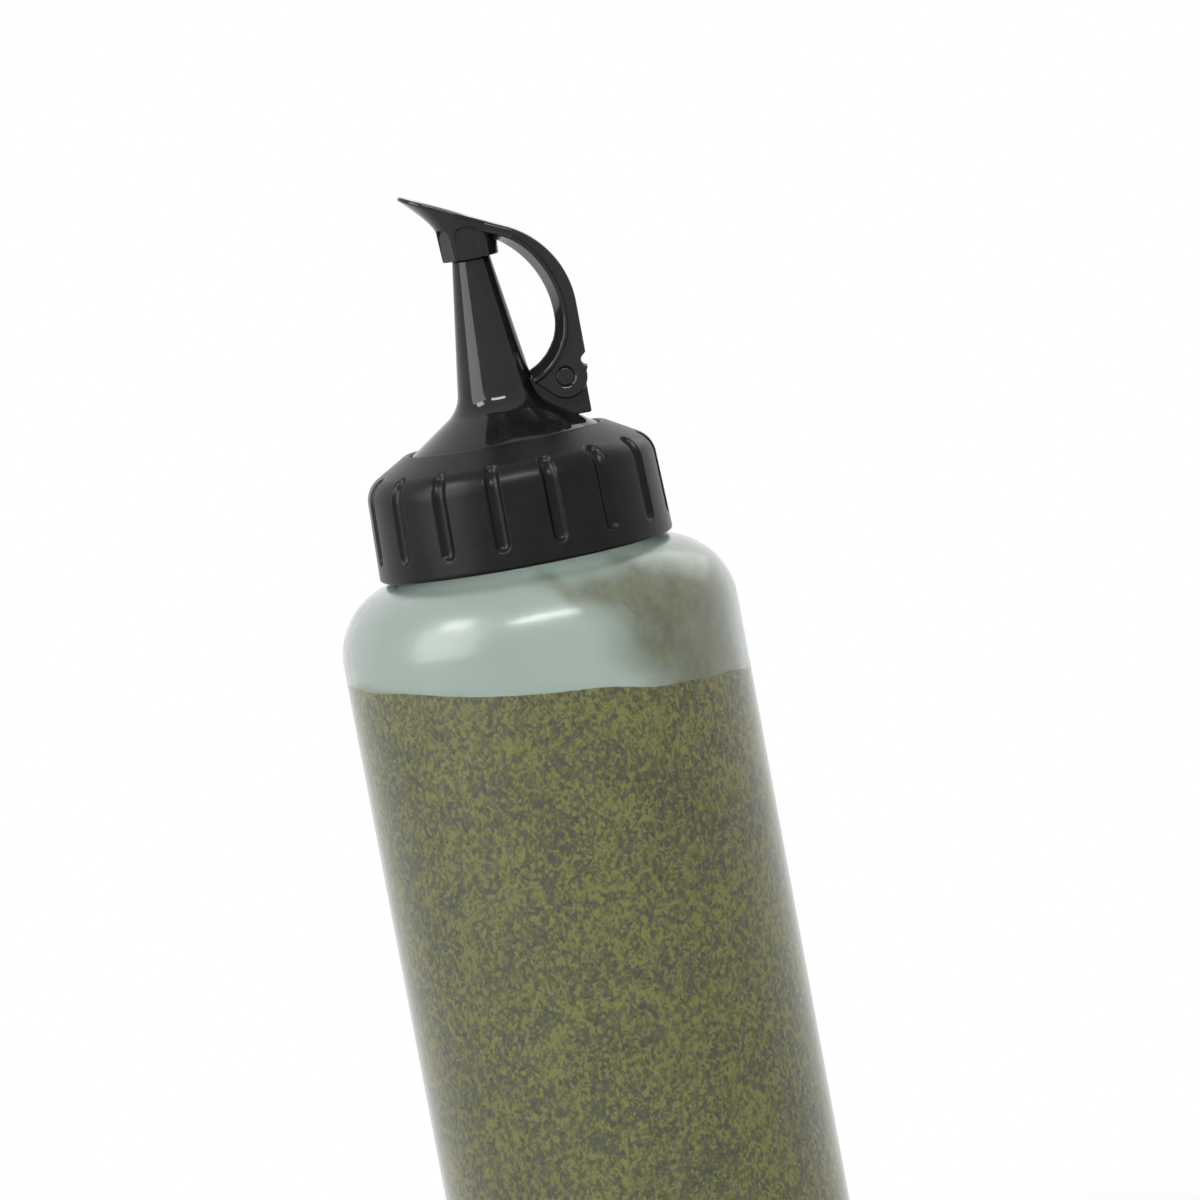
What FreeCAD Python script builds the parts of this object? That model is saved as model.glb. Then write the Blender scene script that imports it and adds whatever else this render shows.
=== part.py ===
"""Condiment squeeze bottle with a screw collar, a tall nozzle and a flip lever.

Lengths are millimetres, +Z is up and the origin is the middle of the base. The lever swings in
the XZ plane: its thumb pad points to -X and its hinge is on +X.
"""
import FreeCAD, Part
import math
import os
import re

import Sketcher

SIZES = {
    # Bottle
    "body_radius": 35.0,
    "bottle_wall": 1.2,
    "floor_thickness": 1.6,
    "base_corner": 5.0,
    "base_ring_inset": 8.0,
    "base_dome": 3.0,
    "shoulder_height": 149.3,
    "shoulder_angle": 22.0,
    "shoulder_round_share": 0.985,
    "neck_radius": 21.8,
    "neck_wall": 1.6,
    "neck_root_round": 1.2,
    "neck_lip_round": 0.4,
    "lip_rise": 12.0,
    # Sauce
    "headspace": 16.3,
    "fill_angle": 8.0,
    "fill_gap": 0.15,
    # Neck seal
    "neck_seal_thickness": 1.2,
    "neck_seal_inset": 0.3,
    # Screw collar
    "collar_lift": 0.288,
    "thread_room": 1.75,
    "collar_wall": 1.9,
    "collar_foot_overhang": 0.53,
    "hole_inset": 4.65,
    "collar_angle": 30.0,
    "collar_round": 4.75,
    "collar_foot_round": 0.6,
    "collar_lip_round": 0.5,
    "collar_inner_round": 2.0,
    "groove_radius": 1.45,
    "groove_depth": 0.9,
    "groove_foot": 2.8,
    "groove_exit": 4.0,
    "groove_exit_angle": 40.0,
    "groove_exit_round": 2.0,
    "groove_bend_drop": 1.31,
    "groove_bend_round": 6.0,
    "groove_run": 8.0,
    "groove_run_angle": 48.0,
    "groove_phase_angle": 15.0,
    "groove_count": 16,
    # Nozzle
    "flange_overhang": 0.5,
    "flange_thickness": 2.53,
    "flange_gap": 0.35,
    "plug_gap": 0.4,
    "plug_wall": 1.4,
    "plug_depth": 3.5,
    "throat_lift": 2.4,
    "seam_gap": 0.65,
    "flare_drop": 0.7,
    "flare_edge_round": 0.4,
    "root_radius": 7.08,
    "root_lift": 6.47,
    "root_round": 6.0,
    "nozzle_wall": 1.5,
    "cone_length": 26.28,
    "tip_radius": 3.25,
    "tip_round": 1.0,
    "orifice_radius": 1.4,
    "orifice_land": 2.2,
    # Hinge
    "pin_behind": 5.32,
    "pin_lift": 2.53,
    "pin_radius": 1.6,
    "pin_fit": 0.02,
    "pin_play": 0.06,
    "pin_recess": 0.25,
    "pin_chamfer": 0.3,
    "lug_half_width": 2.1,
    "lug_wall": 1.8,
    "lug_ear_share": 0.97,
    "lug_foot_lift": 2.1,
    "lug_shelf_lift": 0.8,
    "lug_foot_round": 0.4,
    "cheek_gap": 0.3,
    "cheek_thickness": 1.6,
    "boss_wall": 2.23,
    # Lever arm
    "lever_edge_round": 0.6,
    "arm_front": 3.0,
    "arm_breadth": 4.2,
    "arm_crest": 3.57,
    "back_behind": 4.2,
    "back_round": 16.6,
    "heel_forward": 6.05,
    "heel_lift": 2.0,
    "window_lift": 11.0,
    "window_round_share": 0.985,
    "toe_forward": 5.5,
    "rim_stand": 0.6,
    "rim_breadth": 2.1,
    "rim_round": 0.55,
    "rim_top_angle": 70.0,
    "rim_foot_angle": 74.0,
    "tooth_lift": 1.3,
    "tooth_foot_drop": 1.1,
    "tooth_foot_behind": 3.2,
    "notch_lift": 2.3,
    "notch_out": 0.15,
    "notch_radius": 1.17,
    "slot_lift": 6.4,
    # Lever pad
    "pad_stand": 7.75,
    "pad_angle": 25.7,
    "pad_tip": 11.65,
    "pad_tail": 3.5,
    "pad_overhang": 0.95,
    "pad_edge": 0.7,
    "pad_tip_share": 0.95,
    "pad_tail_share": 0.81,
    "dish_radius": 16.0,
    "dish_depth": 0.8,
    "dish_forward": 4.2,
    # Lever cup
    "cup_overlap": 0.65,
    "cup_height": 6.3,
    "recess_gap": 0.65,
    "recess_mouth": 0.5,
    "cup_wall": 1.05,
    "cup_top_overhang": 0.3,
    "cup_edge_round": 0.35,
    "skirt_drop": 4.2,
    "skirt_half": 4.3,
    "skirt_share": 0.97,
    "flat_wall": 0.56,
    "flat_width": 4.2,
    "flat_height": 5.7,
    "flat_round_share": 0.4,
    "flat_sweep_angle": 180.0,
    "flat_count": 4,
    # Tip seal
    "seat_gap": 0.05,
    "tip_seal_gap": 0.1,
    "tip_seal_thickness": 1.2,
    "tip_seal_nub": 0.3,
    "tip_seal_nub_radius": 1.0,
    # How far every cut runs past the face it goes through
    "overrun": 2.0,
}

# Lines that several pieces share, as formulas in the sizes
SHOULDER_SLOPE = "tan(shoulder_angle)"
SHOULDER_DROP = "bottle_wall / cos(shoulder_angle)"
BASE_RING = "body_radius - base_ring_inset"
NECK_BORE = "neck_radius - neck_wall"
COLLAR_BORE = "neck_radius + thread_room"
COLLAR_RIM = f"{COLLAR_BORE} + collar_foot_overhang"
COLLAR_FOOT = f"shoulder_height + (body_radius - ({COLLAR_RIM})) * {SHOULDER_SLOPE} + collar_lift"
LIP_TOP = f"{COLLAR_FOOT} + lip_rise"

# Collar and nozzle flange
COLLAR_SLOPE = "tan(collar_angle)"
COLLAR_SKIN = "collar_wall / cos(collar_angle)"
FLANGE_SKIN = "(collar_wall + flange_gap) / cos(collar_angle)"
COLLAR_SIDE = f"{COLLAR_BORE} + collar_wall"
COLLAR_HOLE = "neck_radius - hole_inset"
FLANGE_EDGE = "neck_radius + flange_overhang"
FLANGE_FOOT = f"{LIP_TOP} + neck_seal_thickness"
FLANGE_TOP = f"{FLANGE_FOOT} + flange_thickness"
COLLAR_TOP = f"{FLANGE_TOP} + {FLANGE_SKIN} + (flange_overhang + hole_inset) * {COLLAR_SLOPE}"
COLLAR_CORNER = f"{COLLAR_TOP} - (thread_room + collar_wall + hole_inset) * {COLLAR_SLOPE}"
COLLAR_DRAFT = f"collar_foot_overhang / ({COLLAR_CORNER} - ({COLLAR_FOOT}))"

# Nozzle
PLUG_EDGE = f"{NECK_BORE} - plug_gap"
FLARE_EDGE = f"{COLLAR_HOLE} - seam_gap"
FLARE_TOP = f"{COLLAR_TOP} - flare_drop"
FLARE_SLOPE = f"root_lift / ({FLARE_EDGE} - root_radius)"
ROOT_TOP = f"{FLARE_TOP} + root_lift"
TIP_TOP = f"{ROOT_TOP} + cone_length"

# Hinge
PIN_X = "root_radius + pin_behind"
PIN_Z = f"{ROOT_TOP} + pin_lift"
LUG_EAR = "pin_radius + lug_wall"
BOSS = "(pin_radius + boss_wall)"
SLOT_HALF = "lug_half_width + cheek_gap"
LEVER_HALF = f"{SLOT_HALF} + cheek_thickness"
RIM_HALF = f"{LEVER_HALF} + rim_stand"

# Cup, seal and pad
RECESS_EDGE = "tip_radius + recess_gap"
CUP_EDGE = f"{RECESS_EDGE} + cup_wall"
CUP_TOP_EDGE = f"{CUP_EDGE} + cup_top_overhang"
CUP_FOOT = f"{TIP_TOP} - cup_overlap"
CUP_TOP = f"{CUP_FOOT} + cup_height"
SEAL_FOOT = f"{TIP_TOP} + seat_gap"
SEAL_TOP = f"{SEAL_FOOT} + tip_seal_thickness"
PAD_SLOPE = "tan(pad_angle)"
PAD_TOP = f"{CUP_FOOT} + pad_stand"
PAD_LIFT = "(cone_length - cup_overlap + pad_stand - pin_lift)"
PAD_HALF = f"({CUP_TOP_EDGE} + pad_overhang)"

# The lever's window: two round bows that meet where the arm has its breadth. The upper one runs
# to the arm's crest and the lower one to the heel.
BACK_X = f"{PIN_X} + back_behind"
HEEL_X = f"{PIN_X} - heel_forward"
BOW_DEPTH = "(back_behind - arm_breadth + heel_forward)"
BOW_RISE = f"({PAD_LIFT} - ({HEEL_X}) * {PAD_SLOPE} - arm_crest - window_lift)"
BOW_FALL = "(window_lift - heel_lift)"
BOW_TOP = f"(({BOW_RISE} ^ 2 + {BOW_DEPTH} ^ 2) / (2 * {BOW_DEPTH}))"
BOW_FOOT = f"(({BOW_FALL} ^ 2 + {BOW_DEPTH} ^ 2) / (2 * {BOW_DEPTH}))"
TOP_ROUND = f"{BOW_TOP} * window_round_share"
FOOT_ROUND = f"{BOW_FOOT} * window_round_share"
WINDOW_X = f"{HEEL_X} + {BOW_DEPTH}"
WINDOW_Z = f"{PIN_Z} + window_lift"

doc = FreeCAD.newDocument("SqueezeBottle")
sheet = doc.addObject("Spreadsheet::Sheet", "Sizes")
for row, (size_name, number) in enumerate(SIZES.items(), start=1):
    sheet.set(f"A{row}", size_name)
    sheet.set(f"B{row}", str(number))
    sheet.setAlias(f"B{row}", size_name)
doc.recompute()


def linked(text):
    """Return a formula with each size name pointed at its cell in the sheet."""
    return re.sub(
        r"[a-z][a-z_]+",
        lambda word: f"Sizes.{word.group()}" if word.group() in SIZES else word.group(),
        text,
    )


def measure(text):
    """Return the present value of a formula."""
    value = sheet.evalExpression(linked(text))
    return float(getattr(value, "Value", value))


def new_body(label):
    """Start the solid of one piece."""
    body = doc.addObject("PartDesign::Body", label)
    body.Label = label
    return body


def origin_part(body, role):
    """Return one of a body's own origin planes or axes."""
    return next(item for item in body.Origin.OriginFeatures if item.Role == role)


def new_sketch(body, name, plane, offset=None, turn=None):
    """Start a sketch on an origin plane, moved by offset formulas and turned about its y axis."""
    sketch = body.newObject("Sketcher::SketchObject", name)
    sketch.AttachmentSupport = (origin_part(body, plane), [""])
    sketch.MapMode = "FlatFace"
    if turn:
        sketch.AttachmentOffset = FreeCAD.Placement(
            FreeCAD.Vector(), FreeCAD.Rotation(FreeCAD.Vector(0, 1, 0), measure(turn))
        )
        sketch.setExpression("AttachmentOffset.Rotation.Angle", linked(turn))
    for axis, text in (offset or {}).items():
        sketch.setExpression(f"AttachmentOffset.Base.{axis}", linked(text))
    return sketch


def pin_point(sketch, geometry, vertex, x, y):
    """Hold a sketch point at two formulas, on an axis where the formula is zero."""
    for kind, text, axis in (("DistanceX", x, -2), ("DistanceY", y, -1)):
        if text == "0":
            sketch.addConstraint(Sketcher.Constraint("PointOnObject", geometry, vertex, axis))
            continue
        rule = Sketcher.Constraint(kind, -1, 1, geometry, vertex, measure(text))
        index = sketch.addConstraint(rule)
        sketch.setExpression(f"Constraints[{index}]", linked(text))


def hold_radius(sketch, geometry, text):
    """Give a sketched arc or circle its radius formula."""
    index = sketch.addConstraint(Sketcher.Constraint("Radius", geometry, measure(text)))
    sketch.setExpression(f"Constraints[{index}]", linked(text))


class Corner:
    """One corner of an outline: where its two sides meet and how they are rounded."""

    def __init__(self, x, y, rounding=None):
        self.x, self.y, self.rounding = x, y, rounding
        self.point = FreeCAD.Vector(measure(x), measure(y), 0)
        self.radius = measure(rounding) if rounding else 0.0
        self.entry = self.leave = self.point
        self.arc = None
        self.turns_left = True

    def round_off(self, before, after):
        """Work out the arc that touches the sides towards the neighbouring corners."""
        if not self.rounding:
            return
        back = (before.point - self.point).normalize()
        ahead = (after.point - self.point).normalize()
        half = back.getAngle(ahead) / 2
        self.entry = self.point + back * (self.radius / math.tan(half))
        self.leave = self.point + ahead * (self.radius / math.tan(half))
        centre = self.point + (back + ahead).normalize() * (self.radius / math.sin(half))
        self.turns_left = ahead.cross(back).z > 0
        first, last = (self.entry, self.leave) if self.turns_left else (self.leave, self.entry)
        angles = [math.atan2(end.y - centre.y, end.x - centre.x) for end in (first, last)]
        circle = Part.Circle(centre, FreeCAD.Vector(0, 0, 1), self.radius)
        self.arc = Part.ArcOfCircle(circle, *angles)


def draw(sketch, corners, closed=True):
    """Draw straight sides from corner to corner, with arcs where a corner is rounded."""
    points = [Corner(*corner) for corner in corners]
    count = len(points)
    for index, corner in enumerate(points):
        corner.round_off(points[index - 1], points[(index + 1) % count])
    sides = [
        sketch.addGeometry(Part.LineSegment(points[index].leave, points[(index + 1) % count].entry))
        for index in range(count if closed else count - 1)
    ]
    for index, corner in enumerate(points):
        inward = sides[index - 1] if closed or index > 0 else None
        outward = sides[index] if closed or index < count - 1 else None
        if corner.arc:
            arc = sketch.addGeometry(corner.arc)
            enters, leaves = (1, 2) if corner.turns_left else (2, 1)
            sketch.addConstraint(Sketcher.Constraint("Tangent", inward, 2, arc, enters))
            sketch.addConstraint(Sketcher.Constraint("Tangent", arc, leaves, outward, 1))
            hold_radius(sketch, arc, corner.rounding)
            sharp = sketch.addGeometry(Part.Point(corner.point), True)
            sketch.addConstraint(Sketcher.Constraint("PointOnObject", sharp, 1, inward))
            sketch.addConstraint(Sketcher.Constraint("PointOnObject", sharp, 1, outward))
            pin_point(sketch, sharp, 1, corner.x, corner.y)
        elif outward is None:
            pin_point(sketch, inward, 2, corner.x, corner.y)
        else:
            if inward is not None:
                sketch.addConstraint(Sketcher.Constraint("Coincident", inward, 2, outward, 1))
            pin_point(sketch, outward, 1, corner.x, corner.y)
    return sketch


def draw_circle(sketch, x, y, radius):
    """Draw one full circle."""
    centre = FreeCAD.Vector(measure(x), measure(y), 0)
    circle = sketch.addGeometry(Part.Circle(centre, FreeCAD.Vector(0, 0, 1), measure(radius)))
    pin_point(sketch, circle, 3, x, y)
    hold_radius(sketch, circle, radius)
    return sketch


def turned(body, name, sketch, kind="Revolution", sweep=None, backwards=False):
    """Turn a profile about its sketch's upright axis, all round or one way over a sweep."""
    feature = body.newObject(f"PartDesign::{kind}", name)
    feature.Profile = sketch
    feature.ReferenceAxis = (sketch, ["V_Axis"])
    feature.Angle = 360
    if sweep:
        feature.Reversed = backwards
        feature.setExpression("Angle", linked(sweep))
    return feature


def pushed(body, name, sketch, length, kind="Pad", both_ways=True, outward=False):
    """Push a profile into a pad or a pocket, evenly both ways or one way."""
    feature = body.newObject(f"PartDesign::{kind}", name)
    feature.Profile = sketch
    feature.SideType = "Symmetric" if both_ways else "One side"
    feature.Reversed = outward
    feature.setExpression("Length", linked(length))
    return feature


def checked_cut(body, feature):
    """Recompute and make sure that a cut has taken material away."""
    doc.recompute()
    assert feature.Shape.Volume < feature.BaseFeature.Shape.Volume, f"{feature.Label} cuts nothing"
    body.Tip = feature
    return feature


def repeated(body, name, feature, count, sweep=None):
    """Repeat a cut evenly about the upright axis, all round or backwards over a sweep."""
    pattern = body.newObject("PartDesign::PolarPattern", name)
    pattern.Originals = [feature]
    pattern.Axis = (origin_part(body, "Z_Axis"), [""])
    pattern.Angle = 360
    if sweep:
        pattern.Reversed = True
        pattern.setExpression("Angle", linked(sweep))
    pattern.setExpression("Occurrences", linked(count))
    return checked_cut(body, pattern)


def build_bottle():
    """Blown bottle: one profile of even wall, with a domed base, a round shoulder and a neck."""
    body = new_body("bottle")
    inner_radius = "body_radius - bottle_wall"
    shoulder_round = "(body_radius - neck_radius) * shoulder_round_share"
    profile = draw(new_sketch(body, "BottleProfile", "XZ_Plane"), [
        ("0", "base_dome"),
        (BASE_RING, "0"),
        ("body_radius", "0", "base_corner"),
        ("body_radius", "shoulder_height", shoulder_round),
        ("neck_radius", f"shoulder_height + (body_radius - neck_radius) * {SHOULDER_SLOPE}",
         "neck_root_round"),
        ("neck_radius", LIP_TOP, "neck_lip_round"),
        (NECK_BORE, LIP_TOP, "neck_lip_round"),
        (NECK_BORE,
         f"shoulder_height + (body_radius - ({NECK_BORE})) * {SHOULDER_SLOPE} - {SHOULDER_DROP}"),
        (inner_radius, f"shoulder_height + bottle_wall * {SHOULDER_SLOPE} - {SHOULDER_DROP}",
         f"{shoulder_round} - bottle_wall"),
        (inner_radius, "floor_thickness", "base_corner - bottle_wall"),
        (BASE_RING, "floor_thickness"),
        ("0", "base_dome + floor_thickness"),
    ])
    turned(body, "BottleTurned", profile)
    return body


def build_sauce():
    """Sauce: fills the bottle just clear of the wall, with the leaning level of a thick sauce."""
    body = new_body("sauce_fill")
    foot = "floor_thickness + fill_gap"
    edge = "body_radius - bottle_wall - fill_gap"
    level = "shoulder_height - headspace"
    lean = "body_radius * tan(fill_angle)"
    profile = draw(new_sketch(body, "SauceProfile", "XZ_Plane"), [
        ("0", f"base_dome + {foot}"),
        (BASE_RING, foot),
        (edge, foot, "base_corner - bottle_wall - fill_gap"),
        (edge, f"{level} + {lean}"),
        ("0", f"{level} + {lean}"),
    ])
    turned(body, "SauceTurned", profile)
    above = draw(new_sketch(body, "AboveLevel", "XZ_Plane"), [
        ("-body_radius", f"{level} + {lean}"),
        ("body_radius", f"{level} - {lean}"),
        ("body_radius", f"{level} + {lean} + overrun"),
        ("-body_radius", f"{level} + {lean} + overrun"),
    ])
    checked_cut(body, pushed(body, "Level", above, "2 * body_radius", "Pocket"))
    return body


def build_neck_seal():
    """Flat soft ring that lies on the neck's lip, under the nozzle's flange."""
    body = new_body("neck_seal")
    edge = f"{FLANGE_EDGE} - neck_seal_inset"
    profile = draw(new_sketch(body, "NeckSealProfile", "XZ_Plane"), [
        (NECK_BORE, LIP_TOP),
        (edge, LIP_TOP),
        (edge, FLANGE_FOOT),
        (NECK_BORE, FLANGE_FOOT),
    ])
    turned(body, "NeckSealTurned", profile)
    return body


def build_collar():
    """Screw collar: drafted side, sloping top and grip grooves that run over its shoulder."""
    body = new_body("screw_collar")
    side_foot = f"{COLLAR_SIDE} + collar_foot_overhang"
    roof = f"(thread_room + hole_inset) * {COLLAR_SLOPE} + {COLLAR_SKIN}"
    profile = draw(new_sketch(body, "CollarProfile", "XZ_Plane"), [
        (side_foot, COLLAR_FOOT, "collar_foot_round"),
        (COLLAR_SIDE, COLLAR_CORNER, "collar_round"),
        (COLLAR_HOLE, COLLAR_TOP, "collar_lip_round"),
        (COLLAR_HOLE, f"{COLLAR_TOP} - {COLLAR_SKIN}"),
        (COLLAR_BORE, f"{COLLAR_TOP} - ({roof})", "collar_inner_round"),
        (COLLAR_RIM, COLLAR_FOOT),
    ])
    turned(body, "CollarTurned", profile)

    start = f"{COLLAR_FOOT} + groove_foot + groove_radius"
    bend = f"{COLLAR_CORNER} - groove_bend_drop"
    above = "groove_radius - groove_depth"
    start_reach = f"{side_foot} - (groove_foot + groove_radius) * {COLLAR_DRAFT} + {above}"
    bend_reach = f"{COLLAR_SIDE} + groove_bend_drop * {COLLAR_DRAFT} + {above}"
    exit_reach = f"{start_reach} + groove_exit * cos(groove_exit_angle)"
    exit_height = f"{start} - groove_exit * sin(groove_exit_angle)"
    path = draw(new_sketch(body, "GroovePath", "XZ_Plane"), [
        (exit_reach, exit_height),
        (start_reach, start, "groove_exit_round"),
        (bend_reach, bend, "groove_bend_round"),
        (f"{bend_reach} - groove_run * cos(groove_run_angle)",
         f"{bend} + groove_run * sin(groove_run_angle)"),
    ], closed=False)
    exit_place = {"x": exit_reach, "z": exit_height}
    section = new_sketch(body, "GrooveSection", "XY_Plane", exit_place, "groove_exit_angle + 90")
    draw_circle(section, "0", "0", "groove_radius")
    doc.recompute()
    groove = body.newObject("PartDesign::SubtractivePipe", "Groove")
    groove.Profile = section
    groove.Spine = (path, [f"Edge{index + 1}" for index in range(len(path.Shape.Edges))])
    checked_cut(body, groove)
    repeated(body, "Grooves", groove, "groove_count")
    body.Placement = FreeCAD.Placement(
        FreeCAD.Vector(), FreeCAD.Rotation(FreeCAD.Vector(0, 0, 1), measure("groove_phase_angle"))
    )
    body.setExpression("Placement.Rotation.Angle", linked("groove_phase_angle"))
    return body


def build_nozzle():
    """Nozzle: flange and flare under a long cone, a hinge lug at the back and a bore right through."""
    body = new_body("nozzle")
    seam_foot = f"{COLLAR_TOP} + seam_gap * {COLLAR_SLOPE} - {FLANGE_SKIN}"
    bore_edge = f"{PLUG_EDGE} - plug_wall"
    profile = draw(new_sketch(body, "NozzleProfile", "XZ_Plane"), [
        ("0", f"{FLANGE_FOOT} - plug_depth"),
        (PLUG_EDGE, f"{FLANGE_FOOT} - plug_depth"),
        (PLUG_EDGE, FLANGE_FOOT),
        (FLANGE_EDGE, FLANGE_FOOT),
        (FLANGE_EDGE, FLANGE_TOP),
        (FLARE_EDGE, seam_foot),
        (FLARE_EDGE, FLARE_TOP, "flare_edge_round"),
        ("root_radius", ROOT_TOP, "root_round"),
        ("tip_radius", TIP_TOP, "tip_round"),
        ("0", TIP_TOP),
    ])
    turned(body, "NozzleTurned", profile)

    ear_top = f"{PIN_Z} + {LUG_EAR}"
    ear_round = f"({LUG_EAR}) * lug_ear_share"
    lug = draw(new_sketch(body, "LugOutline", "XZ_Plane"), [
        ("0", f"{FLARE_TOP} + lug_foot_lift"),
        (f"{PIN_X} + {LUG_EAR}", f"{FLARE_TOP} + lug_foot_lift", "lug_foot_round"),
        (f"{PIN_X} + {LUG_EAR}", ear_top, ear_round),
        (f"{PIN_X} - ({LUG_EAR})", ear_top, ear_round),
        (f"{PIN_X} - ({LUG_EAR})", f"{PIN_Z} + lug_shelf_lift"),
        ("0", f"{PIN_Z} + lug_shelf_lift"),
    ])
    pushed(body, "Lug", lug, "2 * lug_half_width")

    bore = draw(new_sketch(body, "BoreProfile", "XZ_Plane"), [
        ("0", f"{FLANGE_FOOT} - plug_depth - overrun"),
        (bore_edge, f"{FLANGE_FOOT} - plug_depth - overrun"),
        (bore_edge, f"{FLANGE_FOOT} + throat_lift"),
        ("root_radius - nozzle_wall",
         f"{ROOT_TOP} + nozzle_wall * {FLARE_SLOPE} - nozzle_wall * sqrt(1 + ({FLARE_SLOPE}) ^ 2)"),
        ("orifice_radius", f"{TIP_TOP} - orifice_land"),
        ("orifice_radius", f"{TIP_TOP} + overrun"),
        ("0", f"{TIP_TOP} + overrun"),
    ])
    checked_cut(body, turned(body, "Bore", bore, "Groove"))
    hole = new_sketch(body, "LugHoleOutline", "XZ_Plane")
    draw_circle(hole, PIN_X, PIN_Z, "pin_radius + pin_fit")
    checked_cut(body, pushed(body, "LugHole", hole, "2 * (lug_half_width + overrun)", "Pocket"))
    return body


def build_hinge_pin():
    """Hinge pin: a plain chamfered pin whose ends lie a little inside the lever's bosses."""
    body = new_body("hinge_pin")
    half = f"{LEVER_HALF} - pin_recess"
    profile = draw(new_sketch(body, "PinProfile", "XY_Plane", {"x": PIN_X, "z": PIN_Z}), [
        ("0", f"-({half})"),
        ("pin_radius - pin_chamfer", f"-({half})"),
        ("pin_radius", f"pin_chamfer - ({half})"),
        ("pin_radius", f"{half} - pin_chamfer"),
        ("pin_radius - pin_chamfer", half),
        ("0", half),
    ])
    turned(body, "PinTurned", profile)
    return body


def outer_edges(pad):
    """Return the names of the arm's edges along its top, its round back and its upright back."""
    half = measure(LEVER_HALF)
    back = measure(BACK_X)
    top = measure(PAD_TOP)
    slope = measure(PAD_SLOPE)
    near = measure("lever_edge_round") / 10
    names = []
    for index, edge in enumerate(pad.Shape.Edges, start=1):
        ends = [vertex.Point for vertex in edge.Vertexes]
        on_side = all(abs(abs(end.y) - half) < near for end in ends)
        on_back = all(abs(end.x - back) < near for end in ends)
        on_top = all(abs(end.z + end.x * slope - top) < near for end in ends)
        is_round = edge.Curve.TypeId == "Part::GeomCircle"
        if on_side and (on_back or on_top or is_round):
            names.append(f"Edge{index}")
    return names


def arm_outline(inset="0"):
    """Return the corners of the lever's arm, with its top and back drawn in by an inset."""
    back = f"{BACK_X} - {inset}"
    top = f"{PAD_TOP} - {inset} / cos(pad_angle)"
    return [
        ("-arm_front", f"{top} + arm_front * {PAD_SLOPE}"),
        (back, f"{top} - ({back}) * {PAD_SLOPE}", f"back_round - {inset}"),
        (back, f"{PIN_Z} + tooth_lift"),
        (f"{PIN_X} + tooth_foot_behind", f"{PIN_Z} - tooth_foot_drop"),
        (PIN_X, PIN_Z),
        (f"{PIN_X} - {BOSS} * cos(45)", f"{PIN_Z} - {BOSS} * sin(45)"),
        (f"{PIN_X} - toe_forward", PIN_Z),
        (HEEL_X, f"{PIN_Z} + heel_lift"),
        ("-arm_front", CUP_TOP),
    ]


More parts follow.
